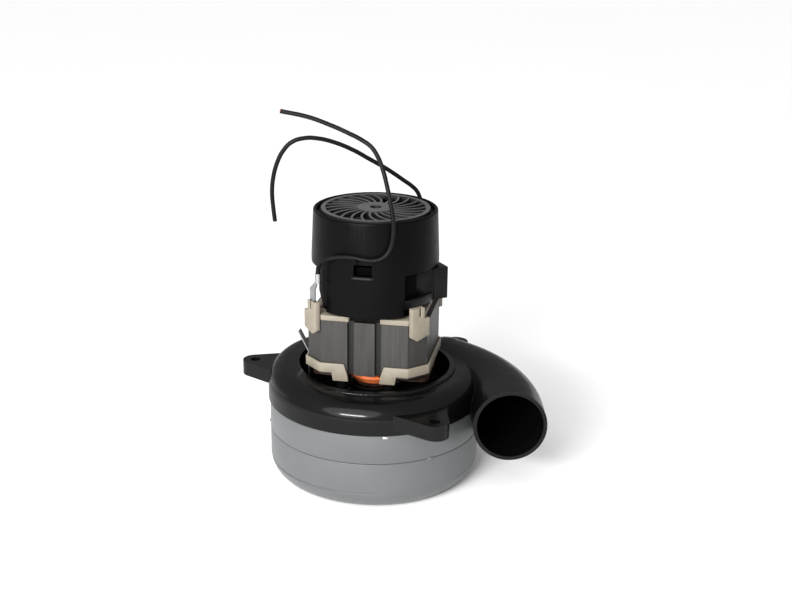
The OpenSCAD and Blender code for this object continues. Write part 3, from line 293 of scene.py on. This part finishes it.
def settle(obj, body, material):
    """Gives a finished piece its material and the body that it moves with."""
    obj.data.materials.clear()
    obj.data.materials.append(material)
    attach(obj, body)
    return obj


def wire_curve(name, points, diameter, sides, steps):
    """Makes a round wire through points that lie in metres."""
    curve = bpy.data.curves.new(name, "CURVE")
    curve.dimensions = "3D"
    curve.bevel_depth = diameter / 2
    curve.bevel_resolution = sides
    curve.resolution_u = steps
    curve.use_fill_caps = True
    line = curve.splines.new("BEZIER")
    line.bezier_points.add(len(points) - 1)
    for knot, point in zip(line.bezier_points, points):
        knot.co = point
        knot.handle_left_type = "AUTO"
        knot.handle_right_type = "AUTO"
    return linked(name, curve)


def wire_mesh(name, points, diameter, sides=2, steps=1):
    """Makes a round wire and turns it into a mesh."""
    only(wire_curve(name, points, diameter, sides, steps))
    bpy.ops.object.convert(target="MESH")
    obj = bpy.context.view_layer.objects.active
    obj.name = name
    smooth(obj, ROUND_CREASE)
    return obj


def root(value, power):
    """Root of a number that keeps its sign."""
    return math.copysign(abs(value) ** (1 / power), value)


# Materials


def start(name):
    """Starts a material and gives its tree, its shader and its Object coordinates."""
    material = bpy.data.materials.new(name)
    material.use_nodes = True
    tree = material.node_tree
    shader = tree.nodes["Principled BSDF"]
    place = tree.nodes.new("ShaderNodeTexCoord").outputs["Object"]
    return material, tree, shader, place


def mapped(tree, place, scale=(1, 1, 1), turn=0.0):
    """Coordinates stretched along the axes, or turned round the motor's axis."""
    node = tree.nodes.new("ShaderNodeMapping")
    node.inputs["Scale"].default_value = scale
    node.inputs["Rotation"].default_value = (0, 0, turn)
    tree.links.new(place, node.inputs["Vector"])
    return node.outputs["Vector"]


def axes(tree, vector):
    """The three parts of a vector."""
    node = tree.nodes.new("ShaderNodeSeparateXYZ")
    tree.links.new(vector, node.inputs["Vector"])
    return node.outputs


def noise(tree, place, scale, detail=3.0, rough=0.55):
    """Cloudy pattern from 0 to 1."""
    node = tree.nodes.new("ShaderNodeTexNoise")
    node.inputs["Scale"].default_value = scale
    node.inputs["Detail"].default_value = detail
    node.inputs["Roughness"].default_value = rough
    tree.links.new(place, node.inputs["Vector"])
    return node.outputs["Fac"]


def bands(tree, place, scale):
    """Even bands up the motor's axis."""
    node = tree.nodes.new("ShaderNodeTexWave")
    node.wave_type = "BANDS"
    node.bands_direction = "Z"
    node.wave_profile = "SIN"
    node.inputs["Scale"].default_value = scale
    node.inputs["Distortion"].default_value = 0.0
    tree.links.new(place, node.inputs["Vector"])
    return node.outputs["Fac"]


def spread(tree, value, low, high, first=0.3, last=0.7):
    """Stretches the part of a pattern between first and last to a range of values."""
    node = tree.nodes.new("ShaderNodeMapRange")
    node.inputs["From Min"].default_value = first
    node.inputs["From Max"].default_value = last
    node.inputs["To Min"].default_value = low
    node.inputs["To Max"].default_value = high
    tree.links.new(value, node.inputs["Value"])
    return node.outputs["Result"]


def between(tree, factor, first, second):
    """Colour between two colours, or between another result and a colour."""
    node = tree.nodes.new("ShaderNodeMix")
    node.data_type = "RGBA"
    for socket, colour in ((node.inputs[6], first), (node.inputs[7], second)):
        if isinstance(colour, bpy.types.NodeSocket):
            tree.links.new(colour, socket)
        else:
            socket.default_value = colour
    tree.links.new(factor, node.inputs[0])
    return node.outputs[2]


def worked(tree, operation, *values):
    """Result of a sum on one or two patterns."""
    node = tree.nodes.new("ShaderNodeMath")
    node.operation = operation
    for socket, value in zip(node.inputs, values):
        tree.links.new(value, socket)
    return node.outputs[0]


def tint(colour, share=1.0, warm=1.0):
    """A colour made lighter or darker, and warmer."""
    return (min(colour[0] * share * warm, 1), min(colour[1] * share, 1), min(colour[2] * share / warm, 1), 1)


def edge_wear(tree, radius):
    """Rounded normal at the edges, and a mask that is 1 on them."""
    bevel = tree.nodes.new("ShaderNodeBevel")
    bevel.samples = 6
    bevel.inputs["Radius"].default_value = radius
    shape = tree.nodes.new("ShaderNodeNewGeometry")
    match = tree.nodes.new("ShaderNodeVectorMath")
    match.operation = "DOT_PRODUCT"
    tree.links.new(bevel.outputs["Normal"], match.inputs[0])
    tree.links.new(shape.outputs["Normal"], match.inputs[1])
    mask = spread(tree, match.outputs["Value"], 1.0, 0.0, first=0.86, last=0.995)
    return bevel.outputs["Normal"], mask


def relief(tree, shader, height, strength, distance, normal=None):
    """Fine relief from a pattern."""
    node = tree.nodes.new("ShaderNodeBump")
    node.inputs["Strength"].default_value = strength
    node.inputs["Distance"].default_value = distance
    tree.links.new(height, node.inputs["Height"])
    if normal is not None:
        tree.links.new(normal, node.inputs["Normal"])
    tree.links.new(node.outputs["Normal"], shader.inputs["Normal"])


def moulding(name, colour, roughness, grain=1600, strength=0.06, edge=0.0006, shine=0.5, wear=2.2, wall_shade=1.0,
             skin=0.0):
    """Moulded plastic: fine texture, flow marks, rubbed edges, a painted shade that darkens upright walls to a share
    of the colour, and a glossy skin.
    """
    material, tree, shader, place = start(name)
    flow = noise(tree, mapped(tree, place, (1, 1, 0.35)), 55, 4)
    normal, worn = edge_wear(tree, edge)
    body = between(tree, spread(tree, flow, 0, 1), tint(colour, 0.8), tint(colour, 1.25))
    rubbed = worked(tree, "MULTIPLY", worn, spread(tree, noise(tree, place, 220), 0.1, 0.75))
    body = between(tree, rubbed, body, tint(colour, wear))
    # Painted shade: faces that do not look up take a darker share of the colour, as if only the light from above
    # reached the tops.
    if wall_shade != 1:
        facing = tree.nodes.new("ShaderNodeNewGeometry").outputs["Normal"]
        level = spread(tree, axes(tree, facing)["Z"], 0, 1, first=0.5, last=0.85)
        body = between(tree, level, tint(colour, wall_shade), body)
    tree.links.new(body, shader.inputs["Base Color"])
    smear = noise(tree, place, 90, 5, 0.65)
    tree.links.new(spread(tree, smear, roughness - 0.06, roughness + 0.08), shader.inputs["Roughness"])
    shader.inputs["Specular IOR Level"].default_value = shine
    shader.inputs["Coat Weight"].default_value = skin
    shader.inputs["Coat Roughness"].default_value = 0.12
    relief(tree, shader, noise(tree, place, grain, 2), strength, 0.0001, normal)
    return material


def painted(name, colour):
    """Satin paint with a slight orange peel, small scuffs and edges where the metal starts to show."""
    material, tree, shader, place = start(name)
    cloud = noise(tree, place, 24, 5, 0.6)
    body = between(tree, spread(tree, cloud, 0, 1), tint(colour, 0.94), tint(colour, 1.05))
    scuff = noise(tree, mapped(tree, place, (1, 1, 5)), 160, 5, 0.7)
    marks = spread(tree, scuff, 0, 0.35, first=0.64, last=0.8)
    body = between(tree, marks, body, tint(colour, 0.72))
    normal, worn = edge_wear(tree, 0.0005)
    body = between(tree, spread(tree, worn, 0, 0.6, first=0.2, last=1.0), body, tint(colour, 1.5))
    tree.links.new(body, shader.inputs["Base Color"])
    tree.links.new(spread(tree, cloud, 0.34, 0.46), shader.inputs["Roughness"])
    shader.inputs["Specular IOR Level"].default_value = 0.45
    relief(tree, shader, noise(tree, place, 700, 2), 0.1, 0.0001, normal)
    return material


def laminated(name, colour):
    """Stacked steel sheets: fine lines, upright streaks, rust bloom and a painted shade in the two grooves."""
    material, tree, shader, place = start(name)
    sheets = bands(tree, place, 1000)
    streak = noise(tree, mapped(tree, place, (1, 1, 0.06)), 420, 4, 0.6)
    bloom = noise(tree, place, 70, 4)
    body = between(tree, spread(tree, streak, 0, 1), tint(colour, 0.72), tint(colour, 1.3))
    body = between(tree, spread(tree, sheets, 0, 0.25, first=0.0, last=1.0), body, tint(colour, 0.6))
    body = between(tree, spread(tree, bloom, 0, 0.45, first=0.6, last=0.8), body, tint(colour, 0.85, 1.25))
    # Painted shade: the floors of the two grooves in the field's front and back faces are darkened where the recess
    # would be in shade.
    parts = axes(tree, mapped(tree, place, turn=-FIELD_TURN))
    across, deep = (worked(tree, "ABSOLUTE", parts[axis]) for axis in "XY")
    sides = spread(tree, across, 1, 0, first=0.0118, last=0.0122)
    mouth = spread(tree, deep, 1, 0, first=0.0364, last=0.0369)
    bottom = spread(tree, deep, 0, 1, first=0.033, last=0.0334)
    groove_shade = worked(tree, "MULTIPLY", worked(tree, "MULTIPLY", sides, mouth), bottom)
    body = between(tree, groove_shade, body, tint(colour, 0.22))
    tree.links.new(body, shader.inputs["Base Color"])
    shader.inputs["Metallic"].default_value = 0.5
    tree.links.new(spread(tree, streak, 0.42, 0.58), shader.inputs["Roughness"])
    relief(tree, shader, sheets, 0.12, 0.00008)
    return material


def metal(name, colour, roughness, turned=True):
    """Metal with fine tool marks, round the motor's axis where it is turned and upright where it is pressed."""
    material, tree, shader, place = start(name)
    marks = noise(tree, mapped(tree, place, (0.15, 0.15, 1) if turned else (1, 1, 0.12)), 1500)
    cloud = noise(tree, place, 120, 4)
    body = between(tree, spread(tree, cloud, 0, 1), tint(colour, 0.82), tint(colour, 1.08))
    tree.links.new(body, shader.inputs["Base Color"])
    shader.inputs["Metallic"].default_value = 1.0
    tree.links.new(spread(tree, marks, roughness - 0.07, roughness + 0.1), shader.inputs["Roughness"])
    relief(tree, shader, marks, 0.08, 0.00005)
    return material


def wound(name, colour, roughness, coat, pooled=0.45):
    """Enamelled or varnished wire, with strands that differ a little and varnish pooled between them."""
    material, tree, shader, place = start(name)
    strand = noise(tree, mapped(tree, place, (1, 1, 2.5)), 500, 4)
    pool = noise(tree, place, 140)
    body = between(tree, spread(tree, strand, 0, 1), tint(colour, 0.7), tint(colour, 1.2))
    body = between(tree, spread(tree, pool, 0, 0.6, first=0.55, last=0.75), body, tint(colour, pooled))
    tree.links.new(body, shader.inputs["Base Color"])
    shader.inputs["Specular IOR Level"].default_value = 0.25
    shader.inputs["Coat Weight"].default_value = coat
    shader.inputs["Coat Roughness"].default_value = 0.15
    tree.links.new(spread(tree, pool, roughness - 0.08, roughness + 0.1), shader.inputs["Roughness"])
    relief(tree, shader, strand, 0.3, 0.00015)
    return material


def creamy(name, colour):
    """Cream moulding with faint mottling and dust that settles in patches."""
    material, tree, shader, place = start(name)
    mottle = noise(tree, place, 110, 4, 0.6)
    dust = noise(tree, place, 380)
    normal, worn = edge_wear(tree, 0.0005)
    body = between(tree, spread(tree, mottle, 0, 1), tint(colour, 0.86, 1.02), tint(colour, 1.08))
    body = between(tree, spread(tree, dust, 0, 0.5, first=0.62, last=0.8), body, tint(colour, 0.62, 1.05))
    body = between(tree, spread(tree, worn, 0, 0.5, first=0.3, last=1.0), body, tint(colour, 1.25))
    tree.links.new(body, shader.inputs["Base Color"])
    tree.links.new(spread(tree, mottle, 0.5, 0.64), shader.inputs["Roughness"])
    shader.inputs["Subsurface Weight"].default_value = 0.06
    shader.inputs["Subsurface Radius"].default_value = (0.002, 0.0014, 0.0008)
    relief(tree, shader, dust, 0.08, 0.0001, normal)
    return material


# Each finish: its maker, its colour and the maker's values. The colour is one of the panel's by name or one of its
# own, and a share and a warmth may follow it.
FINISHES = {
    "satin_case_paint": (painted, ("case_paint",), {}),
    "bracket_moulding": (moulding, ("bracket",), dict(
        roughness=0.45, grain=1500, strength=0.03, edge=0.0009, shine=0.03, wear=8, skin=0.31)),
    "cover_moulding": (moulding, ("cover",), dict(roughness=0.38, grain=2200, edge=0.0007, shine=0.06, wear=12)),
    # The neck is darker and duller than the cover: a painted shade, so that the snap catch in each window reads as a
    # dark recess.
    "neck_moulding": (moulding, ("cover", 0.6), dict(roughness=0.5, grain=2200, edge=0.0007, shine=0.02, wear=4)),
    # The sill's black is lighter than the cover's: a painted highlight where the sill catches the light from above.
    "sill_moulding": (moulding, ((0.009, 0.009, 0.009),), dict(
        roughness=0.4, grain=2200, edge=0.0007, shine=0.15, wear=3)),
    "box_moulding": (moulding, ("cover", 2.6), dict(roughness=0.36, grain=2000, strength=0.05, shine=0.14, wear=6)),
    # The grille's tops keep its grey, partly its own tone and partly a painted reflection of the light from above.
    # Its upright walls get a painted shade.
    "grille_moulding": (moulding, ("grille",), dict(
        roughness=0.5, grain=1800, strength=0.1, edge=0.0004, shine=0.3, wear=1.3, wall_shade=0.12)),
    "cooling_plastic": (moulding, ("cover", 2.0), dict(roughness=0.5, grain=1800, strength=0.1)),
    "carbon_block": (moulding, ((0.022, 0.021, 0.02),), dict(roughness=0.6, grain=2600, strength=0.2)),
    "black_lead_sleeve": (moulding, ("lead_sleeve",), dict(roughness=0.44, grain=1400, edge=0.0002, shine=0.12)),
    "insulator_moulding": (creamy, ("insulator",), {}),
    "lamination_steel": (laminated, ("laminations",), {}),
    "enamelled_copper": (wound, ("copper",), dict(roughness=0.4, coat=0.1, pooled=0.75)),
    "red_coil_varnish": (wound, ("varnish",), dict(roughness=0.4, coat=0.35)),
    "coil_wire": (wound, ("varnish", 0.28, 1.2), dict(roughness=0.5, coat=0.05)),
    "copper_bars": (metal, ((0.72, 0.36, 0.2),), dict(roughness=0.34)),
    "bare_steel": (metal, ((0.56, 0.56, 0.57),), dict(roughness=0.3)),
    "spun_aluminium": (metal, ((0.68, 0.69, 0.7),), dict(roughness=0.36)),
    "stake_metal": (metal, ((0.72, 0.73, 0.74),), dict(roughness=0.3)),
    "spring_steel": (metal, ((0.45, 0.45, 0.46),), dict(roughness=0.3)),
    "brush_brass": (metal, ((0.68, 0.47, 0.18),), dict(roughness=0.34, turned=False)),
    "tinned_brass": (metal, ((0.34, 0.34, 0.35),), dict(roughness=0.34, turned=False)),
    "earth_strip": (metal, ((0.3, 0.3, 0.31),), dict(roughness=0.45, turned=False)),
}


def finish(name):
    """Gives a finish by name and makes it the first time."""
    found = bpy.data.materials.get(name)
    if found:
        return found
    maker, (colour, *change), values = FINISHES[name]
    if isinstance(colour, str):
        colour = getattr(bpy.context.scene.motor_colours, colour)
    return maker(name, tint(colour, *change), **values)


# Operators


class MOTOR_OT_stage(bpy.types.Operator):
    """Sets the camera at the photo's angle, soft studio light and a pale floor"""

    bl_idname = "motor.stage"
    bl_label = "Stage"

    def camera(self, scene):
        """The camera that was fitted to the photo."""
        camera = bpy.data.cameras.new("camera")
        camera.sensor_width = CAMERA_SENSOR
        camera.lens = CAMERA_LENS
        camera.clip_start = 0.01
        scene.camera = linked("camera", camera)
        turn = (CAMERA_AIM - CAMERA_PLACE).to_track_quat("-Z", "Y").to_matrix().to_4x4()
        roll = Matrix.Rotation(CAMERA_ROLL, 4, "Z")
        scene.camera.matrix_world = Matrix.Translation(CAMERA_PLACE) @ turn @ roll

    def sky(self, scene):
        """White surroundings, brighter on the side that the soft light comes from."""
        scene.world = bpy.data.worlds.new("studio")
        scene.world.use_nodes = True
        tree = scene.world.node_tree
        background = tree.nodes["Background"]
        background.inputs["Color"].default_value = (1, 1, 1, 1)
        towards = tree.nodes.new("ShaderNodeVectorMath")
        towards.operation = "DOT_PRODUCT"
        towards.inputs[1].default_value = -SOFT_LIGHT
        tree.links.new(tree.nodes.new("ShaderNodeTexCoord").outputs["Generated"], towards.inputs[0])
        strength = spread(tree, towards.outputs["Value"], SKY_LOW, SKY_HIGH, first=-1, last=1)
        tree.links.new(strength, background.inputs["Strength"])
        scene.view_settings.view_transform = "Standard"

    def lights(self):
        """A long key light, which draws the highlight on the bracket, and a wide soft light from behind."""
        key = bpy.data.lights.new("key_light", "AREA")
        key.shape = "RECTANGLE"
        key.size, key.size_y = KEY_SIZE
        key.energy = KEY_POWER
        holder = linked("key_light", key)
        holder.location = KEY_PLACE
        holder.rotation_euler = (KEY_AIM - KEY_PLACE).to_track_quat("-Z", "Y").to_euler()
        sun = bpy.data.lights.new("soft_light", "SUN")
        sun.energy = SOFT_POWER
        sun.angle = SOFT_ANGLE
        linked("soft_light", sun).rotation_euler = SOFT_LIGHT.to_track_quat("-Z", "Y").to_euler()

    def floor(self, scene):
        """A pale floor that reaches past the view."""
        bpy.ops.object.select_all(action="DESELECT")
        bpy.ops.mesh.primitive_plane_add(size=FLOOR_SIZE, location=(0, 0, 0))
        floor = bpy.context.active_object
        floor.name = "floor"
        bpy.ops.object.transform_apply(location=True, rotation=True, scale=True)
        material, tree, shader, place = start("floor")
        shade = scene.motor_colours.floor
        body = between(tree, noise(tree, place, 3), tint(shade, 0.99), tint(shade, 1.01))
        tree.links.new(body, shader.inputs["Base Color"])
        shader.inputs["Roughness"].default_value = 0.9
        floor.data.materials.append(material)

    def execute(self, context):
        self.camera(context.scene)
        self.sky(context.scene)
        self.lights()
        self.floor(context.scene)
        return {"FINISHED"}


class MOTOR_OT_lead_wires(bpy.types.Operator):
    """Makes the two free lead wires with the copper strands at their cut ends"""

    bl_idname = "motor.lead_wires"
    bl_label = "Lead Wires"

    def strands(self, name, points):
        """Six strands round a seventh, which end just outside the sleeve."""
        tip, back = points[-1], points[-2]
        along = (tip - back).normalized()
        turn = along.to_track_quat("Z", "Y")
        angles = [math.radians(60 * i) for i in range(6)]
        offsets = [Vector((math.cos(angle), math.sin(angle), 0)) * STRAND_RING for angle in angles]
        parts = []
        for offset in [*offsets, Vector()]:
            bpy.ops.object.select_all(action="DESELECT")
            bpy.ops.mesh.primitive_cylinder_add(
                vertices=12, radius=STRAND_RADIUS, depth=STRAND_LENGTH,
                location=tip - along * STRAND_BACK + turn @ offset, rotation=turn.to_euler())
            part = bpy.context.active_object
            add_bevel(part, STRAND_EDGE)
            apply_all(part)
            parts.append(part)
        obj = joined(parts, name)
        smooth(obj)
        return settle(obj, BODY, finish("enamelled_copper"))

    def execute(self, context):
        diameter = context.scene.motor_sizes.lead_diameter
        for name, route in (("lead_wire_front", FRONT_ROUTE), ("lead_wire_rear", REAR_ROUTE)):
            points = [Vector(p) * MM for p in route]
            lead = wire_curve(name + "_sleeve", points, diameter, sides=4, steps=8)
            settle(lead, BODY, finish("black_lead_sleeve"))
            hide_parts(name)
            ends = self.strands(name + "_strands", points)
        return {"FINISHED"}


class MOTOR_OT_case(bpy.types.Operator):
    """Finishes the two painted shells of the fan case and the stakes that hold them"""

    bl_idname = "motor.case"
    bl_label = "Fan Case"

    def stake(self, degrees, height):
        """One pressed stake: a small pillow on the wall of the case."""
        angle = math.radians(degrees)
        bpy.ops.object.select_all(action="DESELECT")
        bpy.ops.mesh.primitive_cube_add(size=1)
        part = bpy.context.active_object
        part.scale = [size * MM for size in STAKE_SIZE]
        bpy.ops.object.transform_apply(location=True, rotation=True, scale=True)
        bpy.ops.object.mode_set(mode="EDIT")
        bpy.ops.mesh.select_all(action="DESELECT")
        bpy.ops.object.mode_set(mode="OBJECT")
        for face in part.data.polygons:
            face.select = face.normal.x > 0.9
        bpy.ops.object.mode_set(mode="EDIT")
        bpy.ops.transform.resize(value=STAKE_FACE)
        bpy.ops.object.mode_set(mode="OBJECT")
        add_bevel(part, STAKE_EDGE * MM, degrees=20, segments=3)
        apply_all(part)
        reach = STAKE_REACH * MM
        part.location = (reach * math.cos(angle), reach * math.sin(angle), height * MM)
        part.rotation_euler = (0, 0, angle)
        return part

    def execute(self, context):
        edge = context.scene.motor_sizes.sheet_edge
        for node in ("inlet_shell", "upper_shell"):
            settle(finished_copy(node, node + "_painted", edge), BODY, finish("satin_case_paint"))
        for name, first, height, slot, coat in STAKES:
            stakes = joined([self.stake(first + 120 * i, height) for i in range(3)], name)
            smooth(stakes, ROUND_CREASE)
            settle(stakes, BODY, finish(coat))
        return {"FINISHED"}


class MOTOR_OT_bracket(bpy.types.Operator):
    """Finishes the black fan bracket with its ears and outlet horn"""

    bl_idname = "motor.bracket"
    bl_label = "Fan Bracket"

    def execute(self, context):
        obj = finished_copy("fan_bracket", "fan_bracket_moulding", 0)
        settle(obj, BODY, finish("bracket_moulding"))
        return {"FINISHED"}


class MOTOR_OT_cover(bpy.types.Operator):
    """Finishes the cover with its window sills and grille, the bracket under it and the terminal box"""

    bl_idname = "motor.cover"
    bl_label = "Cover and Terminal Box"

    def sills(self):
        """A moulded sill under each snap window, which runs into the wall at its ends."""
        parts = []
        for side in (-math.pi / 2, math.pi / 2):
            spin = Matrix.Rotation(FIELD_TURN + side, 3, "Z")
            points = []
            for degrees, reach in SILL_LINE:
                angle = math.radians(degrees)
                points.append(spin @ Vector((reach * math.cos(angle), reach * math.sin(angle), SILL_HEIGHT)) * MM)
            parts.append(wire_mesh("window_sill", points, SILL_THICKNESS * MM, sides=4, steps=4))
        return joined(parts, "window_sills")

    def execute(self, context):
        edge = context.scene.motor_sizes.moulded_edge
        # The sills take a lighter black, which is a painted highlight.
        settle(self.sills(), BODY, finish("sill_moulding"))
        # The commutator bracket takes the darker neck finish, which is a painted shade seen in the windows.
        for node, width, moulded in (("fan_cover", 0, "cover_moulding"), ("commutator_bracket", 0, "neck_moulding"),
                                     ("terminal_box", edge, "box_moulding"),
                                     ("terminal_box_lid", edge, "box_moulding")):
            settle(finished_copy(node, node + "_moulding", width), BODY, finish(moulded))
        grille = finished_copy("intake_grille", "intake_grille_moulding", 0)
        settle(grille, BODY, finish("grille_moulding"))
        return {"FINISHED"}


class MOTOR_OT_insulators(bpy.types.Operator):
    """Finishes the cream insulators and the crimped lead terminals"""

    bl_idname = "motor.insulators"
    bl_label = "Insulators"

    def notches(self):
        """Boxes where the outer side of each terminal tower steps down."""
        cos, sin = math.cos(TOWER_LEAN), math.sin(TOWER_LEAN)
        x = TOWER_X + cos * STEP_OUT - sin * STEP_SIDE
        y = TOWER_Y + sin * STEP_OUT + cos * STEP_SIDE
        spin = Matrix.Rotation(FIELD_TURN, 3, "Z")
        parts = []
        for sx in (-1, 1):
            for sy in (-1, 1):
                bpy.ops.object.select_all(action="DESELECT")
                bpy.ops.mesh.primitive_cube_add(
                    size=1, location=spin @ Vector((sx * x, sy * y, STEP_HEIGHT)) * MM,
                    rotation=(0, 0, FIELD_TURN + math.atan2(sy * sin, sx * cos)))
                part = bpy.context.active_object
                part.scale = [size * MM for size in STEP_SIZE]
                parts.append(part)
        return joined(parts, "tower_notches")

    def execute(self, context):
        edge = context.scene.motor_sizes.insulator_edge
        for node, cutter in (("lower_insulator", None), ("upper_insulator", self.notches())):
            settle(finished_copy(node, node + "_moulding", edge, cutter), BODY,
                   finish("insulator_moulding"))
        for node in ("lead_terminal", "rear_lead_terminal"):
            settle(finished_copy(node, node + "_crimp", 0), BODY, finish("tinned_brass"))
        return {"FINISHED"}


class MOTOR_OT_windings(bpy.types.Operator):
    """Winds the outer layer of both field coils and the lower end of the armature winding"""

    bl_idname = "motor.windings"
    bl_label = "Windings"

    def layer(self, name, spin, wire, turns):
        """The outer layer of a field coil: turns with rounded corners that step along the coil's axis."""
        low, high = COIL_FROM * MM + wire / 2, COIL_TO * MM - wire / 2
        half, tall, mid = COIL_WIDE * MM, COIL_TALL * MM, COIL_MIDDLE * MM
        count = TURN_STEPS * turns - TURN_STEPS // 2
        points = []
        for i in range(count + 1):
            angle = 2 * math.pi * i / TURN_STEPS
            points.append(spin @ Vector((low + (high - low) * i / count,
                                         half * root(math.cos(angle), COIL_POWER),
                                         mid + tall * root(math.sin(angle), COIL_POWER))))
        return wire_mesh(name + "_layer", points, wire)

    def ends(self, name, spin, wire):
        """The wires that show under the lower insulator, bent round the end of a field coil."""
        loop = [*COIL_END, COIL_END_MIDDLE, *((x, -y) for x, y in reversed(COIL_END))]
        parts = []
        for i in range(COIL_ENDS):
            shift, height = COIL_END_SHIFT * (i % 2), COIL_END_HEIGHT + COIL_END_RISE * i
            points = [spin @ Vector((x + shift, y, height)) * MM for x, y in loop]
            parts.append(wire_mesh(name + "_end", points, wire, steps=3))
        return parts

    def armature(self, turns):
        """The turns round the lower end of the armature winding."""
        radius, drop = ARMATURE_RADIUS * MM, ARMATURE_DEPTH * MM / turns
        points = []
        for i in range(turns * TURN_STEPS + 1):
            angle = 2 * math.pi * i / TURN_STEPS
            points.append(Vector((radius * math.cos(angle), radius * math.sin(angle),
                                  ARMATURE_TOP * MM - drop * i / TURN_STEPS)))
        return wire_mesh("armature_end_turns_layer", points, ARMATURE_WIRE * MM)

    def execute(self, context):
        sizes = context.scene.motor_sizes
        for name, turn in (("right_coil_wire", FIELD_TURN), ("left_coil_wire", FIELD_TURN + math.pi)):
            spin = Matrix.Rotation(turn, 3, "Z")
            layer = self.layer(name, spin, sizes.coil_wire, sizes.coil_turns)
            obj = joined([layer, *self.ends(name, spin, sizes.coil_wire)], name + "_layer")
            settle(obj, BODY, finish("coil_wire"))
            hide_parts(name)
        obj = self.armature(sizes.end_turns)
        settle(obj, "rotor", finish("enamelled_copper"))
        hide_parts("armature_end_turns")
        return {"FINISHED"}


class MOTOR_OT_springs(bpy.types.Operator):
    """Coils the two brush springs, with closed ends, between the brushes and their caps"""

    bl_idname = "motor.springs"
    bl_label = "Brush Springs"

    def line(self, spin, wire):
        """Centre line of a spring from the brush to the cap."""
        gaps = SPRING_CURLS - 2 * SPRING_CLOSED
        free = SPRING_OUTER - SPRING_INNER - wire * (1 + 2 * SPRING_CLOSED)
        points = []
        for i in range(SPRING_CURLS * SPRING_STEPS + 1):
            curl = i / SPRING_STEPS
            open_part = min(max(curl - SPRING_CLOSED, 0), gaps)
            along = SPRING_INNER + wire / 2 + wire * min(curl, SPRING_CLOSED) + free * open_part / gaps
            along += wire * max(curl - SPRING_CLOSED - gaps, 0)
            angle = 2 * math.pi * curl
            points.append(spin @ Vector((along, SPRING_RADIUS * math.cos(angle), SPRING_RADIUS * math.sin(angle)))
                          + Vector((0, 0, SPRING_HEIGHT)))
        return points

    def execute(self, context):
        wire = context.scene.motor_sizes.spring_wire
        for side, turn in (("front", FIELD_TURN - math.pi / 2), ("rear", FIELD_TURN + math.pi / 2)):
            name = side + "_brush_spring"
            points = self.line(Matrix.Rotation(turn, 3, "Z"), wire)
            obj = wire_mesh(name + "_coil", points, wire * SPRING_SHARE)
            settle(obj, BODY, finish("spring_steel"))
            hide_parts(name)
            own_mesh(obj)
        return {"FINISHED"}


class MOTOR_OT_solids(bpy.types.Operator):
    """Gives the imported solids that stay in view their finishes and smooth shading"""

    bl_idname = "motor.solids"
    bl_label = "Other Solids"

    def execute(self, context):
        for name, nodes in STAYING.items():
            for node in nodes:
                obj = only(NODES[node])
                obj.data.materials.clear()
                obj.data.materials.append(finish(name))
                bpy.ops.object.shade_smooth()
                weld = obj.modifiers.new("Join", "WELD")
                weld.merge_threshold = MERGE
                split = obj.modifiers.new("Creases", "EDGE_SPLIT")
                split.split_angle = math.radians(CREASE)
        bpy.ops.object.select_all(action="DESELECT")
        return {"FINISHED"}


class MOTOR_PT_panel(bpy.types.Panel):
    """Sizes, colours and steps of the motor"""

    bl_idname = "MOTOR_PT_panel"
    bl_label = "Vacuum Motor Unit"
    bl_space_type = "VIEW_3D"
    bl_region_type = "UI"
    bl_category = "Motor"

    def draw(self, context):
        layout = self.layout
        for settings in (context.scene.motor_sizes, context.scene.motor_colours):
            for name in settings.__annotations__:
                layout.prop(settings, name)
        for operator in OPERATORS:
            layout.operator(operator.bl_idname)


OPERATORS = (
    MOTOR_OT_stage,
    MOTOR_OT_lead_wires,
    MOTOR_OT_case,
    MOTOR_OT_bracket,
    MOTOR_OT_cover,
    MOTOR_OT_insulators,
    MOTOR_OT_windings,
    MOTOR_OT_springs,
    MOTOR_OT_solids,
)
CLASSES = (MotorSizes, MotorColours, *OPERATORS, MOTOR_PT_panel)


def register():
    for cls in CLASSES:
        bpy.utils.register_class(cls)
    bpy.types.Scene.motor_sizes = PointerProperty(type=MotorSizes)
    bpy.types.Scene.motor_colours = PointerProperty(type=MotorColours)


def unregister():
    del bpy.types.Scene.motor_colours
    del bpy.types.Scene.motor_sizes
    for cls in reversed(CLASSES):
        bpy.utils.unregister_class(cls)


def main():
    """Makes the whole scene."""
    register()
    bpy.ops.motor.stage()
    bpy.ops.motor.lead_wires()
    bpy.ops.motor.case()
    bpy.ops.motor.bracket()
    bpy.ops.motor.cover()
    bpy.ops.motor.insulators()
    bpy.ops.motor.windings()
    bpy.ops.motor.springs()
    bpy.ops.motor.solids()


if __name__ == "__main__":
    main()
